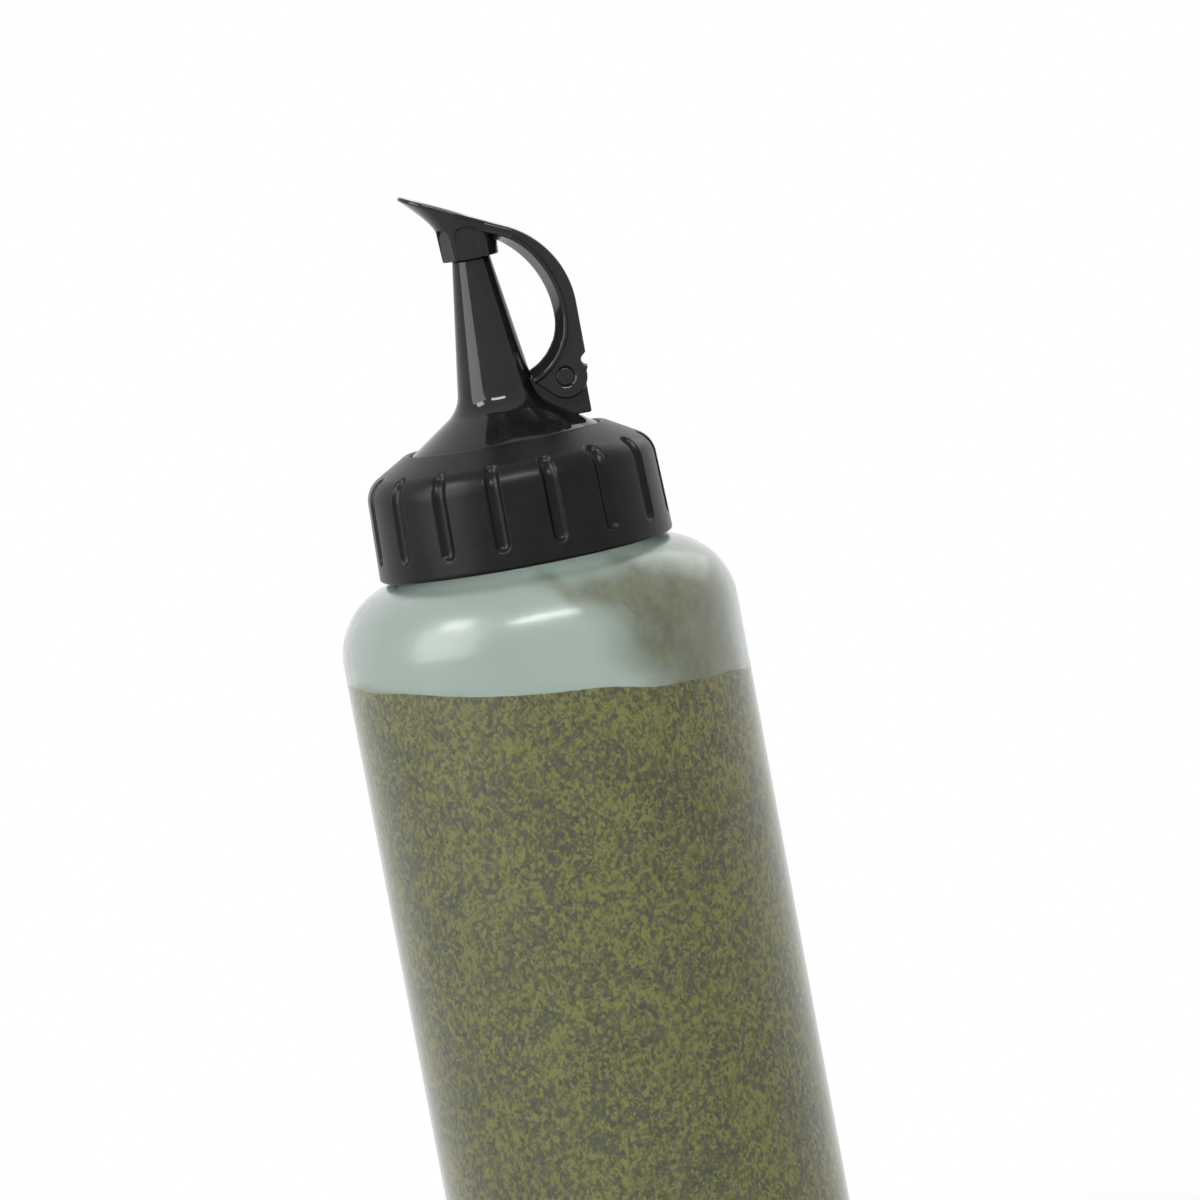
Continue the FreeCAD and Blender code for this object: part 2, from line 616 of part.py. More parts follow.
def build_lever():
    """Flip lever: bowed arm with a beaded window, hinge cheeks, tip cup and dished thumb pad."""
    body = new_body("flip_lever")
    through = f"2 * ({RIM_HALF} + overrun)"

    arm = draw(new_sketch(body, "ArmOutline", "XZ_Plane"), arm_outline())
    pad = pushed(body, "Arm", arm, f"2 * ({LEVER_HALF})")
    doc.recompute()
    edges = body.newObject("PartDesign::Fillet", "ArmEdges")
    edges.Base = (pad, outer_edges(pad))
    edges.setExpression("Radius", linked("lever_edge_round"))
    checked_cut(body, edges)
    window_front = f"-arm_front - {BOW_TOP} - overrun"
    window = draw(new_sketch(body, "WindowOutline", "XZ_Plane"), [
        (window_front, f"{WINDOW_Z} - {BOW_FOOT}"),
        (WINDOW_X, f"{WINDOW_Z} - {BOW_FOOT}", FOOT_ROUND),
        (WINDOW_X, f"{WINDOW_Z} + {BOW_TOP}", TOP_ROUND),
        (window_front, f"{WINDOW_Z} + {BOW_TOP}"),
    ])
    checked_cut(body, pushed(body, "Window", window, through, "Pocket"))

    foot_end = f"{BOW_FOOT} - {FOOT_ROUND}"
    top_end = f"{BOW_TOP} - {TOP_ROUND}"
    for end, bow, height, upward in (
        ("Foot", FOOT_ROUND, f"{WINDOW_Z} - ({foot_end})", False),
        ("Top", TOP_ROUND, f"{WINDOW_Z} + {top_end}", True),
    ):
        centre = {"x": f"{WINDOW_X} - {bow}", "z": height}
        bead = new_sketch(body, f"{end}BeadSection", "XY_Plane", centre)
        for sign in ("", "-"):
            draw(bead, [
                (bow, f"{sign}({LEVER_HALF})"),
                (f"{bow} + rim_breadth", f"{sign}({LEVER_HALF})"),
                (f"{bow} + rim_breadth", f"{sign}({RIM_HALF})", "rim_round"),
                (bow, f"{sign}({RIM_HALF})", "rim_round"),
            ])
        if upward:
            pushed(body, "BeadMiddle", bead, f"{top_end} + {foot_end}", both_ways=False, outward=True)
        turned(body, f"{end}Bead", bead, sweep=f"rim_{end.lower()}_angle", backwards=upward)
    for side, place, outward in (("Near", LEVER_HALF, True), ("Far", f"-({LEVER_HALF})", False)):
        surround = new_sketch(body, f"{side}Surround", "XZ_Plane", {"z": place})
        draw(surround, arm_outline("lever_edge_round"))
        draw(surround, [
            (f"-({BACK_X})", f"{PIN_Z} - {BOSS} - overrun"),
            (f"{BACK_X} + overrun", f"{PIN_Z} - {BOSS} - overrun"),
            (f"{BACK_X} + overrun", f"{PAD_TOP} + {BACK_X}"),
            (f"-({BACK_X})", f"{PAD_TOP} + {BACK_X}"),
        ])
        trim = pushed(body, f"{side}Trim", surround, "rim_stand + overrun", "Pocket", False, outward)
        checked_cut(body, trim)
    boss = new_sketch(body, "BossOutline", "XZ_Plane")
    draw_circle(boss, PIN_X, PIN_Z, BOSS)
    pushed(body, "Boss", boss, f"2 * ({LEVER_HALF})")

    cup = draw(new_sketch(body, "CupProfile", "XZ_Plane"), [
        ("0", CUP_FOOT),
        (CUP_EDGE, CUP_FOOT, "cup_edge_round"),
        (CUP_TOP_EDGE, CUP_TOP),
        ("0", CUP_TOP),
    ])
    turned(body, "Cup", cup)
    over = f"{CUP_TOP_EDGE} + overrun"
    level = draw(new_sketch(body, "PadLevel", "XY_Plane", {"z": PAD_TOP}, "pad_angle"), [
        (f"-({over})", f"-({over})"),
        (over, f"-({over})"),
        (over, over),
        (f"-({over})", over),
    ])
    checked_cut(body, pushed(body, "CupTrim", level, "cup_height", "Pocket", False, True))
    skirt_place = {
        "x": "-skirt_drop * sin(pad_angle)",
        "z": f"{PAD_TOP} - skirt_drop * cos(pad_angle)",
    }
    skirt_round = "skirt_half * skirt_share"
    skirt = draw(new_sketch(body, "SkirtFoot", "XY_Plane", skirt_place, "pad_angle"), [
        ("-skirt_half", f"-({CUP_TOP_EDGE})", skirt_round),
        ("skirt_half", f"-({CUP_TOP_EDGE})", skirt_round),
        ("skirt_half", CUP_TOP_EDGE, skirt_round),
        ("-skirt_half", CUP_TOP_EDGE, skirt_round),
    ])
    rim_place = {
        "x": "-pad_edge * sin(pad_angle)",
        "z": f"{PAD_TOP} - pad_edge * cos(pad_angle)",
    }
    rim = draw(new_sketch(body, "PadOutline", "XY_Plane", rim_place, "pad_angle"), [
        ("-pad_tip", f"-{PAD_HALF}", f"{PAD_HALF} * pad_tip_share"),
        ("pad_tail", f"-{PAD_HALF}", f"{PAD_HALF} * pad_tail_share"),
        ("pad_tail", PAD_HALF, f"{PAD_HALF} * pad_tail_share"),
        ("-pad_tip", PAD_HALF, f"{PAD_HALF} * pad_tip_share"),
    ])
    loft = body.newObject("PartDesign::AdditiveLoft", "Skirt")
    loft.Profile = skirt
    loft.Sections = [rim]
    loft.Ruled = True
    pushed(body, "ThumbPad", rim, "pad_edge", both_ways=False)

    flat_top = f"{CUP_FOOT} + flat_height"
    flat_round = "flat_width * flat_round_share"
    flat_place = {"z": f"{RECESS_EDGE} + flat_wall"}
    flat = draw(new_sketch(body, "FlatOutline", "XZ_Plane", flat_place), [
        ("-flat_width / 2", f"{CUP_FOOT} - overrun"),
        ("flat_width / 2", f"{CUP_FOOT} - overrun"),
        ("flat_width / 2", flat_top, flat_round),
        ("-flat_width / 2", flat_top, flat_round),
    ])
    first_flat = checked_cut(body, pushed(body, "Flat", flat, "overrun", "Pocket", False, True))
    repeated(body, "Flats", first_flat, "flat_count", "flat_sweep_angle")

    dish = body.newObject("PartDesign::SubtractiveSphere", "Dish")
    dish.AttachmentSupport = skirt.AttachmentSupport
    dish.MapMode = "FlatFace"
    dish.setExpression("Radius", linked("dish_radius"))
    lift = "(dish_radius - dish_depth)"
    dish.setExpression(
        "AttachmentOffset.Base.x",
        linked(f"{lift} * sin(pad_angle) - dish_forward * cos(pad_angle)"),
    )
    dish.setExpression(
        "AttachmentOffset.Base.z",
        linked(f"{PAD_TOP} + {lift} * cos(pad_angle) + dish_forward * sin(pad_angle)"),
    )
    checked_cut(body, dish)

    recess = draw(new_sketch(body, "RecessProfile", "XZ_Plane"), [
        ("0", f"{CUP_FOOT} - overrun"),
        (f"{RECESS_EDGE} + recess_mouth", f"{CUP_FOOT} - overrun"),
        (f"{RECESS_EDGE} + recess_mouth", CUP_FOOT),
        (RECESS_EDGE, f"{CUP_FOOT} + recess_mouth"),
        (RECESS_EDGE, SEAL_TOP),
        ("0", SEAL_TOP),
    ])
    checked_cut(body, turned(body, "Recess", recess, "Groove"))
    slot = draw(new_sketch(body, "SlotOutline", "XZ_Plane"), [
        ("0", f"{PIN_Z} - {BOSS} - overrun"),
        (f"{BACK_X} + overrun", f"{PIN_Z} - {BOSS} - overrun"),
        (f"{BACK_X} + overrun", f"{PIN_Z} + slot_lift"),
        ("0", f"{PIN_Z} + slot_lift"),
    ])
    checked_cut(body, pushed(body, "Slot", slot, f"2 * ({SLOT_HALF})", "Pocket"))
    notch = new_sketch(body, "NotchOutline", "XZ_Plane")
    draw_circle(notch, f"{BACK_X} + notch_out", f"{PIN_Z} + notch_lift", "notch_radius")
    checked_cut(body, pushed(body, "Notch", notch, through, "Pocket"))
    hole = new_sketch(body, "CheekHoleOutline", "XZ_Plane")
    draw_circle(hole, PIN_X, PIN_Z, "pin_radius + pin_play")
    checked_cut(body, pushed(body, "CheekHoles", hole, through, "Pocket"))
    return body


def build_tip_seal():
    """Soft disc under the cup's roof, with a low nub over the nozzle's hole."""
    body = new_body("tip_seal")
    profile = draw(new_sketch(body, "TipSealProfile", "XZ_Plane"), [
        ("0", f"{SEAL_FOOT} - tip_seal_nub"),
        ("tip_seal_nub_radius", SEAL_FOOT),
        (f"{RECESS_EDGE} - tip_seal_gap", SEAL_FOOT),
        (f"{RECESS_EDGE} - tip_seal_gap", SEAL_TOP),
        ("0", SEAL_TOP),
    ])
    turned(body, "TipSealTurned", profile)
    return body


pieces = [
    build_bottle(),
    build_sauce(),
    build_neck_seal(),
    build_collar(),
    build_nozzle(),
    build_hinge_pin(),
    build_lever(),
    build_tip_seal(),
]
doc.recompute()

for item in doc.Objects:
    assert not {"Invalid", "Error"} & set(item.State), f"{item.Label} failed to build"
for piece in pieces:
    assert not piece.Shape.isNull() and piece.Shape.isValid(), f"{piece.Label} is not a valid solid"
    assert len(piece.Shape.Solids) == 1, f"{piece.Label} is not one solid"

os.makedirs("parts", exist_ok=True)
for piece in pieces:
    piece.Shape.exportStep(f"parts/{piece.Label}.step")
    box = piece.Shape.BoundBox
    print(f"{piece.Label}: {piece.Shape.Volume:.1f} mm3, z {box.ZMin:.2f} to {box.ZMax:.2f}")
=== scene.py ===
"""Looks of the condiment squeeze bottle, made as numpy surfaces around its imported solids.

Sizes are millimetres in the classes and metres in the meshes. +Z is up along the bottle, the
lever's hinge is on +X and the camera looks along +Y.
"""
import logging
import math
from dataclasses import dataclass
from enum import Enum

import bpy
import numpy as np
from mathutils import Matrix, Vector


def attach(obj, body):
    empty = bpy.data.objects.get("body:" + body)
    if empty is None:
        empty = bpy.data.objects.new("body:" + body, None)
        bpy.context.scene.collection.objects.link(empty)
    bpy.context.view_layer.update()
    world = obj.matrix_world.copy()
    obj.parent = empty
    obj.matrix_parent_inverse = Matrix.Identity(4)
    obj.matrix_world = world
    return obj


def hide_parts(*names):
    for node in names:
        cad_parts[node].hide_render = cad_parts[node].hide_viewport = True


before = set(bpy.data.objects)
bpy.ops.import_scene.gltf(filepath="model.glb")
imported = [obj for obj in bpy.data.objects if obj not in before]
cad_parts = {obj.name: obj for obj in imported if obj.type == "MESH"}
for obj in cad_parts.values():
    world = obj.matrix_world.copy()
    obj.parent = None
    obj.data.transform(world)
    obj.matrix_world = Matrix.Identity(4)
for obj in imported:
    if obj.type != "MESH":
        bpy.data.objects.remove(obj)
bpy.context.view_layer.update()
LOG = logging.getLogger("squeeze_bottle")
MILLIMETRE = 0.001
THREAD_STEPS = 96
THREAD_FADE = 0.1
THREAD_END_SHARE = 0.35
Colour = tuple[float, float, float]
Place = tuple[float, float, float]
Corner = tuple[float, float, float]


class Body(Enum):
    """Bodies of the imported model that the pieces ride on."""

    BOTTLE = "bottle"
    NOZZLE = "nozzle"
    COLLAR = "collar"
    LEVER = "lever"


class Slot(Enum):
    """Names of the material slots."""

    BOTTLE = "bottle_plastic"
    SAUCE = "sauce"
    SEAL = "seal_rubber"
    COLLAR = "collar_plastic"
    NOZZLE = "nozzle_plastic"
    LEVER = "lever_plastic"


@dataclass
class Skin:
    """A surface in arrays: points in millimetres, with faces of four and of three corners."""

    points: np.ndarray
    quads: np.ndarray
    tris: np.ndarray
    caps: tuple[np.ndarray, ...] = ()

    def joined(self, other: "Skin") -> "Skin":
        """Return this skin and another as one."""
        shift = len(self.points)
        return Skin(
            np.concatenate([self.points, other.points]),
            np.concatenate([self.quads, other.quads + shift]),
            np.concatenate([self.tris, other.tris + shift]),
            self.caps + tuple(cap + shift for cap in other.caps),
        )

    def facing_out(self) -> "Skin":
        """Return this closed skin with all faces turned outwards, by the sign of its volume."""
        fans = [np.stack([np.full(len(cap) - 2, cap[0]), cap[1:-1], cap[2:]], axis=1)
                for cap in self.caps]
        tris = np.concatenate([self.quads[:, :3], self.quads[:, [0, 2, 3]], self.tris, *fans])
        first, second, third = (self.points - self.points.mean(axis=0))[tris].transpose(1, 0, 2)
        if np.sum(first * np.cross(second, third)) > 0:
            return self
        return Skin(self.points, self.quads[:, ::-1], self.tris[:, ::-1],
                    tuple(cap[::-1].copy() for cap in self.caps))


def rounded_line(corners: list[Corner], closed: bool, arc_step: float,
                 side_step: float) -> np.ndarray:
    """Work out a line of straight sides whose corners are rounded.

    Each arc touches both sides of its corner: it starts radius / tan(half the corner's angle) from
    the corner, and its centre is on the corner's halving line.

    Args:
        corners: Corner points with the radius of each rounding, zero for a sharp one.
        closed: Whether the last corner joins the first.
        arc_step: Longest step along an arc.
        side_step: Longest step along a straight side.

    Returns:
        The line's points, an array of n by 2.
    """
    sharp = np.array([corner[:2] for corner in corners], float)
    runs: list[np.ndarray] = []
    count = len(corners)
    for index, (_, _, radius) in enumerate(corners):
        point = sharp[index]
        if not radius or (not closed and index in (0, count - 1)):
            runs.append(point[None, :])
            continue
        back = sharp[index - 1] - point
        ahead = sharp[(index + 1) % count] - point
        back, ahead = back / np.linalg.norm(back), ahead / np.linalg.norm(ahead)
        half = math.acos(float(np.clip(back @ ahead, -1, 1))) / 2
        middle = (back + ahead) / np.linalg.norm(back + ahead)
        centre = point + middle * radius / math.sin(half)
        entry, leave = (point + way * radius / math.tan(half) - centre for way in (back, ahead))
        first = math.atan2(entry[1], entry[0])
        sweep = (math.atan2(leave[1], leave[0]) - first + math.pi) % (2 * math.pi) - math.pi
        steps = max(4, math.ceil(abs(sweep) * radius / arc_step))
        angles = first + sweep * np.linspace(0, 1, steps + 1)
        runs.append(centre + radius * np.stack([np.cos(angles), np.sin(angles)], axis=1))
    line: list[np.ndarray] = []
    for index, run in enumerate(runs):
        line.append(run)
        if not closed and index == count - 1:
            break
        start, end = run[-1], runs[(index + 1) % count][0]
        steps = max(1, math.ceil(float(np.linalg.norm(end - start)) / side_step))
        shares = np.linspace(0, 1, steps + 1)[1:-1, None]
        line.append(start + (end - start) * shares)
    return np.concatenate(line)


def grid_skin(points: np.ndarray, close_rows: bool, close_columns: bool = True) -> Skin:
    """Join a grid of points into faces whose outside is columns cross rows.

    Args:
        points: Grid of rows by columns by 3.
        close_rows: Whether the last row joins the first.
        close_columns: Whether the last column joins the first.

    Returns:
        The skin of the grid.
    """
    rows, columns = points.shape[:2]
    index = np.arange(rows * columns).reshape(rows, columns)
    index = np.concatenate([index, index[:1]]) if close_rows else index
    index = np.concatenate([index, index[:, :1]], axis=1) if close_columns else index
    quads = np.stack([index[:-1, :-1], index[:-1, 1:], index[1:, 1:], index[1:, :-1]], axis=-1)
    return Skin(points.reshape(-1, 3), quads.reshape(-1, 4), np.zeros((0, 3), int))


def capped_skin(points: np.ndarray) -> Skin:
    """Return loops of points joined into a closed skin, with one flat face at each end."""
    skin = grid_skin(points, close_rows=False)
    rows, columns = points.shape[:2]
    first = np.arange(columns)
    caps = (first[::-1].copy(), first + (rows - 1) * columns)
    return Skin(skin.points, skin.quads, skin.tris, caps).facing_out()


def poled_skin(points: np.ndarray, low: float, high: float) -> Skin:
    """Join rings of points and close the first and the last at a pole on the upright axis.

    Args:
        points: Rings of rows by columns by 3.
        low: Height of the pole inside the first ring.
        high: Height of the pole inside the last ring.

    Returns:
        The closed skin.
    """
    skin = grid_skin(points, close_rows=False)
    size, (rows, columns) = len(skin.points), points.shape[:2]
    ring = np.arange(columns)
    after = np.roll(ring, -1)
    top = (rows - 1) * columns
    low_fan = np.stack([np.full(columns, size), after, ring], axis=1)
    high_fan = np.stack([np.full(columns, size + 1), ring + top, after + top], axis=1)
    poles = np.array([[0, 0, low], [0, 0, high]])
    return Skin(np.concatenate([skin.points, poles]), skin.quads,
                np.concatenate([low_fan, high_fan]))


def way_along(line: np.ndarray) -> np.ndarray:
    """Return how far along a line each of its points lies."""
    return np.concatenate([[0], np.cumsum(np.linalg.norm(np.diff(line, axis=0), axis=1))])


def resampled(line: np.ndarray, count: int) -> np.ndarray:
    """Return evenly spaced points along a line."""
    reach = way_along(line)
    place = np.linspace(0, reach[-1], count)
    return np.stack([np.interp(place, reach, line[:, axis]) for axis in (0, 1)], axis=1)


def eased(share: np.ndarray) -> np.ndarray:
    """Return a share kept between zero and one, with a soft start and end."""
    share = np.clip(share, 0, 1)
    return share * share * (3 - 2 * share)


def edge_drop(distance: np.ndarray, rounding: np.ndarray | float) -> np.ndarray:
    """Return how far a rounded edge lies below the flat at a distance from it."""
    into = np.clip(rounding - distance, 0, rounding)
    return rounding - np.sqrt(np.maximum(rounding ** 2 - into ** 2, 0))


def ring_at(angles: np.ndarray, radius: np.ndarray | float, height: np.ndarray | float) -> np.ndarray:
    """Return one ring of points round the upright axis."""
    return np.stack([radius * np.cos(angles), radius * np.sin(angles),
                     height * np.ones_like(angles)], axis=-1)


def lathe(profile: np.ndarray, angles: np.ndarray) -> Skin:
    """Turn a profile of (radius, height) about the upright axis.

    A point is (radius cos angle, radius sin angle, height). A profile that starts and ends on the
    axis gets one point at each pole; any other profile is a closed loop.

    Args:
        profile: Points of the profile, up on the outside and down on the inside.
        angles: Angles of the columns, rising, without the closing one.

    Returns:
        The turned skin.
    """
    poled = profile[0, 0] < 1e-9 and profile[-1, 0] < 1e-9
    body = profile[1:-1] if poled else profile
    radius, height = body[:, :1], body[:, 1:]
    points = np.stack([radius * np.cos(angles), radius * np.sin(angles),
                       np.broadcast_to(height, (len(body), len(angles)))], axis=-1)
    if poled:
        return poled_skin(points, profile[0, 1], profile[-1, 1])
    return grid_skin(points, close_rows=True).facing_out()


def even_angles(count: int) -> np.ndarray:
    """Return evenly spaced angles round a full turn."""
    return np.linspace(0, 2 * np.pi, count, endpoint=False)


def outline_normals(outline: np.ndarray) -> np.ndarray:
    """Return the outward unit normals of a closed outline drawn anticlockwise."""
    along = np.roll(outline, -1, axis=0) - np.roll(outline, 1, axis=0)
    normals = np.stack([along[:, 1], -along[:, 0]], axis=1)
    return normals / np.maximum(np.linalg.norm(normals, axis=1, keepdims=True), 1e-9)


def slab(outline: np.ndarray, low: float, high: float, low_round: float, high_round: float) -> Skin:
    """Carry an outline in the XZ plane along Y, with its long edges rounded.

    A ring at share t of a rounding is drawn in by round (1 - cos t) and lies round (1 - sin t)
    from the slab's face, so the edge is a quarter circle. Each face ends in a thin flat border
    and a cap.

    Args:
        outline: Closed anticlockwise outline of (x, z).
        low: Lowest y.
        high: Highest y.
        low_round: Rounding of the edge at the lowest y.
        high_round: Rounding of the edge at the highest y.

    Returns:
        The closed skin of the slab.
    """
    normals = outline_normals(outline)
    turn = np.linspace(0, np.pi / 2, 7)
    border = 0.12
    low_in = low_round * (1 - np.sin(turn))
    rings = [(low_in[0] + border, low)]
    rings += list(zip(low_in, low + low_round * (1 - np.cos(turn))))
    rings += list(zip(high_round * (1 - np.cos(turn)), high - high_round * (1 - np.sin(turn))))
    rings += [(high_round + border, high)]
    inset = np.array([ring[0] for ring in rings])[:, None, None]
    flat = outline[None] - normals[None] * inset
    depth = np.broadcast_to(np.array([ring[1] for ring in rings])[:, None], flat.shape[:2])
    return capped_skin(np.stack([flat[..., 0], depth, flat[..., 1]], axis=-1)[:, ::-1])


def thread_skin(root: float, crest: float, start: float, turns: float, pitch: float,
                phase: float, width: float) -> Skin:
    """Wind a thread's ridge round a wall.

    The helix is height = start + pitch angle / one turn. Its section is a low trapezium from the
    root's radius to the crest's, and fades into the wall at both ends.

    Args:
        root: Radius of the wall that carries the ridge.
        crest: Radius of the ridge's crest, less than the root's for an inside thread.
        start: Height of the ridge's middle where it starts.
        turns: Number of turns.
        pitch: Rise of one turn.
        phase: Angle at which the ridge starts, in degrees.
        width: Height of the ridge at the wall.

    Returns:
        The closed skin of the ridge.
    """
    share = np.linspace(0, 1, int(THREAD_STEPS * turns))
    angle = np.radians(phase) + share * turns * 2 * np.pi
    swell = eased(np.minimum(share, 1 - share) / THREAD_FADE)[:, None]
    reach_shares = np.array([-0.25, 0.0, 0.55, 0.92, 1.0, 1.0, 0.92, 0.55, 0.0, -0.25])
    rise_shares = np.array([-0.5, -0.5, -0.36, -0.25, -0.17, 0.17, 0.25, 0.36, 0.5, 0.5])
    radius = root + (crest - root) * np.where(reach_shares > 0, reach_shares * swell, reach_shares)
    height = (start + (share * turns * pitch)[:, None]
              + rise_shares * width * (THREAD_END_SHARE + (1 - THREAD_END_SHARE) * swell))
    return capped_skin(np.stack([radius * np.cos(angle)[:, None], radius * np.sin(angle)[:, None],
                                 height], axis=-1))


def make_piece(name: str, skin: Skin, finish: bpy.types.Material, body: Body,
               stands_for: str | None = None, sharp_angle: float = 38.0) -> bpy.types.Object:
    """Put a skin into a mesh object, dress it and let it ride on its body.

    Args:
        name: Name of the piece.
        skin: Its surface in millimetres.
        finish: Its material.
        body: Body that it moves with.
        stands_for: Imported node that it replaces, if any.
        sharp_angle: Edges that fold by more than this many degrees stay sharp.

    Returns:
        The new object.
    """
    faces = [skin.quads, skin.tris, *(cap[None] for cap in skin.caps)]
    faces = [group for group in faces if len(group)]
    corners = np.concatenate([group.ravel() for group in faces])
    totals = np.concatenate([np.full(len(group), group.shape[1]) for group in faces])
    mesh = bpy.data.meshes.new(name)
    mesh.vertices.add(len(skin.points))
    mesh.vertices.foreach_set("co", (skin.points * MILLIMETRE).astype(np.float32).ravel())
    mesh.loops.add(len(corners))
    mesh.loops.foreach_set("vertex_index", corners.astype(np.int32))
    mesh.polygons.add(len(totals))
    mesh.polygons.foreach_set("loop_start", (np.cumsum(totals) - totals).astype(np.int32))
    mesh.polygons.foreach_set("loop_total", totals.astype(np.int32))
    mesh.polygons.foreach_set("use_smooth", np.ones(len(totals), bool))
    mesh.update(calc_edges=True)
    mesh.validate()
    mesh.set_sharp_from_angle(angle=math.radians(sharp_angle))
    mesh.materials.append(finish)
    piece = bpy.data.objects.new(name, mesh)
    bpy.context.scene.collection.objects.link(piece)
    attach(piece, body.value)
    if stands_for:
        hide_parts(stands_for)
    LOG.info("%s: %d faces on %s", name, len(totals), body.value)
    return piece


def dress_node(node: str, finish: bpy.types.Material) -> None:
    """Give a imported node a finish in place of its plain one."""
    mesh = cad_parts[node].data
    mesh.materials.clear()
    mesh.materials.append(finish)
    LOG.info("%s: packed node with its own finish", node)


def add_node(tree: bpy.types.NodeTree, kind: str, output: str,
             values: dict[str | int, float | tuple] | None = None,
             sources: dict[str | int, bpy.types.NodeSocket] | None = None,
             **settings: str) -> bpy.types.NodeSocket:
    """Add a shader node to a tree.

    Args:
        tree: Tree that gets the node.
        kind: Blender's name of the kind of node.
        output: Name of the output that is wanted.
        values: Even values, by the input's name or place.
        sources: Outputs to link to inputs, by the input's name or place.
        settings: The node's own settings, such as its operation.

    Returns:
        The output that is wanted.
    """
    node = tree.nodes.new(kind)
    for name, setting in settings.items():
        setattr(node, name, setting)
    for name, value in (values or {}).items():
        node.inputs[name].default_value = value
    for name, source in (sources or {}).items():
        tree.links.new(source, node.inputs[name])
    return node.outputs[output]


class Palette:
    """Nodes of one material, with lengths of its patterns in millimetres."""

    def __init__(self, name: str) -> None:
        """Start a material with one Principled shader."""
        self.material = bpy.data.materials.new(name)
        self.material.use_nodes = True
        self.tree = self.material.node_tree
        self.shader = self.tree.nodes["Principled BSDF"]
        self.place = self.tree.nodes.new("ShaderNodeTexCoord").outputs["Object"]

    def fix(self, **values: float | tuple) -> None:
        """Set even values on the shader, with _ for a space in a socket's name."""
        for name, value in values.items():
            socket = self.shader.inputs[name.replace("_", " ")]
            socket.default_value = (*value, 1.0) if socket.type == "RGBA" else value

    def link(self, source: bpy.types.NodeSocket, name: str) -> None:
        """Join a pattern to one of the shader's sockets."""
        self.tree.links.new(source, self.shader.inputs[name])

    def stretched(self, scale: Place, turn: Place = (0.0, 0.0, 0.0)) -> bpy.types.NodeSocket:
        """Return the place, turned by angles in degrees and then scaled."""
        values = {"Rotation": tuple(math.radians(angle) for angle in turn), "Scale": scale}
        return add_node(self.tree, "ShaderNodeMapping", "Vector", values, {"Vector": self.place},
                        vector_type="POINT")

    def noise(self, size: float, detail: float = 2.0, rough: float = 0.5, bend: float = 0.0,
              place: bpy.types.NodeSocket | None = None) -> bpy.types.NodeSocket:
        """Return a noise whose lumps are about one size across.

        Args:
            size: Size of a lump.
            detail: Number of finer layers.
            rough: Strength of each finer layer.
            bend: How far the noise is bent by itself.
            place: Coordinates, if not the plain ones.

        Returns:
            The noise's value.
        """
        values = {"Scale": 1 / (size * MILLIMETRE), "Detail": detail, "Roughness": rough,
                  "Distortion": bend}
        return add_node(self.tree, "ShaderNodeTexNoise", "Fac", values,
                        {"Vector": place or self.place})

    def cells(self, size: float,
              place: bpy.types.NodeSocket | None = None) -> bpy.types.NodeSocket:
        """Return an even random value for each cell of a broken-up pattern."""
        values = {"Scale": 1 / (size * MILLIMETRE), "Randomness": 1.0}
        colour = add_node(self.tree, "ShaderNodeTexVoronoi", "Color", values,
                          {"Vector": place or self.place})
        return add_node(self.tree, "ShaderNodeSeparateColor", "Red", sources={"Color": colour})

    def ramp(self, value: bpy.types.NodeSocket,
             stops: list[tuple[float, Colour]]) -> bpy.types.NodeSocket:
        """Return the colour that a value picks between stops."""
        node = self.tree.nodes.new("ShaderNodeValToRGB")
        points = node.color_ramp.elements
        while len(points) < len(stops):
            points.new(0.5)
        for point, (position, colour) in zip(points, stops):
            point.position = position
            point.color = (*colour, 1.0)
        self.tree.links.new(value, node.inputs["Fac"])
        return node.outputs["Color"]

    def spread(self, value: bpy.types.NodeSocket, low: float, high: float,
               start: float = 0.0, end: float = 1.0) -> bpy.types.NodeSocket:
        """Return a value carried from one range to another and kept inside it."""
        values = {"From Min": start, "From Max": end, "To Min": low, "To Max": high}
        return add_node(self.tree, "ShaderNodeMapRange", "Result", values, {"Value": value})

    def sum(self, first: bpy.types.NodeSocket, second: bpy.types.NodeSocket,
            weight: float) -> bpy.types.NodeSocket:
        """Return the first value plus the second times a weight."""
        return add_node(self.tree, "ShaderNodeMath", "Value", {1: weight}, {0: second, 2: first},
                        operation="MULTIPLY_ADD")

    def product(self, first: bpy.types.NodeSocket,
                second: bpy.types.NodeSocket) -> bpy.types.NodeSocket:
        """Return one value times another."""
        return add_node(self.tree, "ShaderNodeMath", "Value", sources={0: first, 1: second},
                        operation="MULTIPLY")

    def attribute(self, name: str) -> bpy.types.NodeSocket:
        """Return a value that the mesh carries."""
        return add_node(self.tree, "ShaderNodeAttribute", "Fac", attribute_name=name)

    def bump(self, height: bpy.types.NodeSocket, depth: float) -> None:
        """Raise the surface by a height pattern of a depth."""
        self.link(add_node(self.tree, "ShaderNodeBump", "Normal",
                           {"Strength": 1.0, "Distance": depth * MILLIMETRE}, {"Height": height}),
                  "Normal")


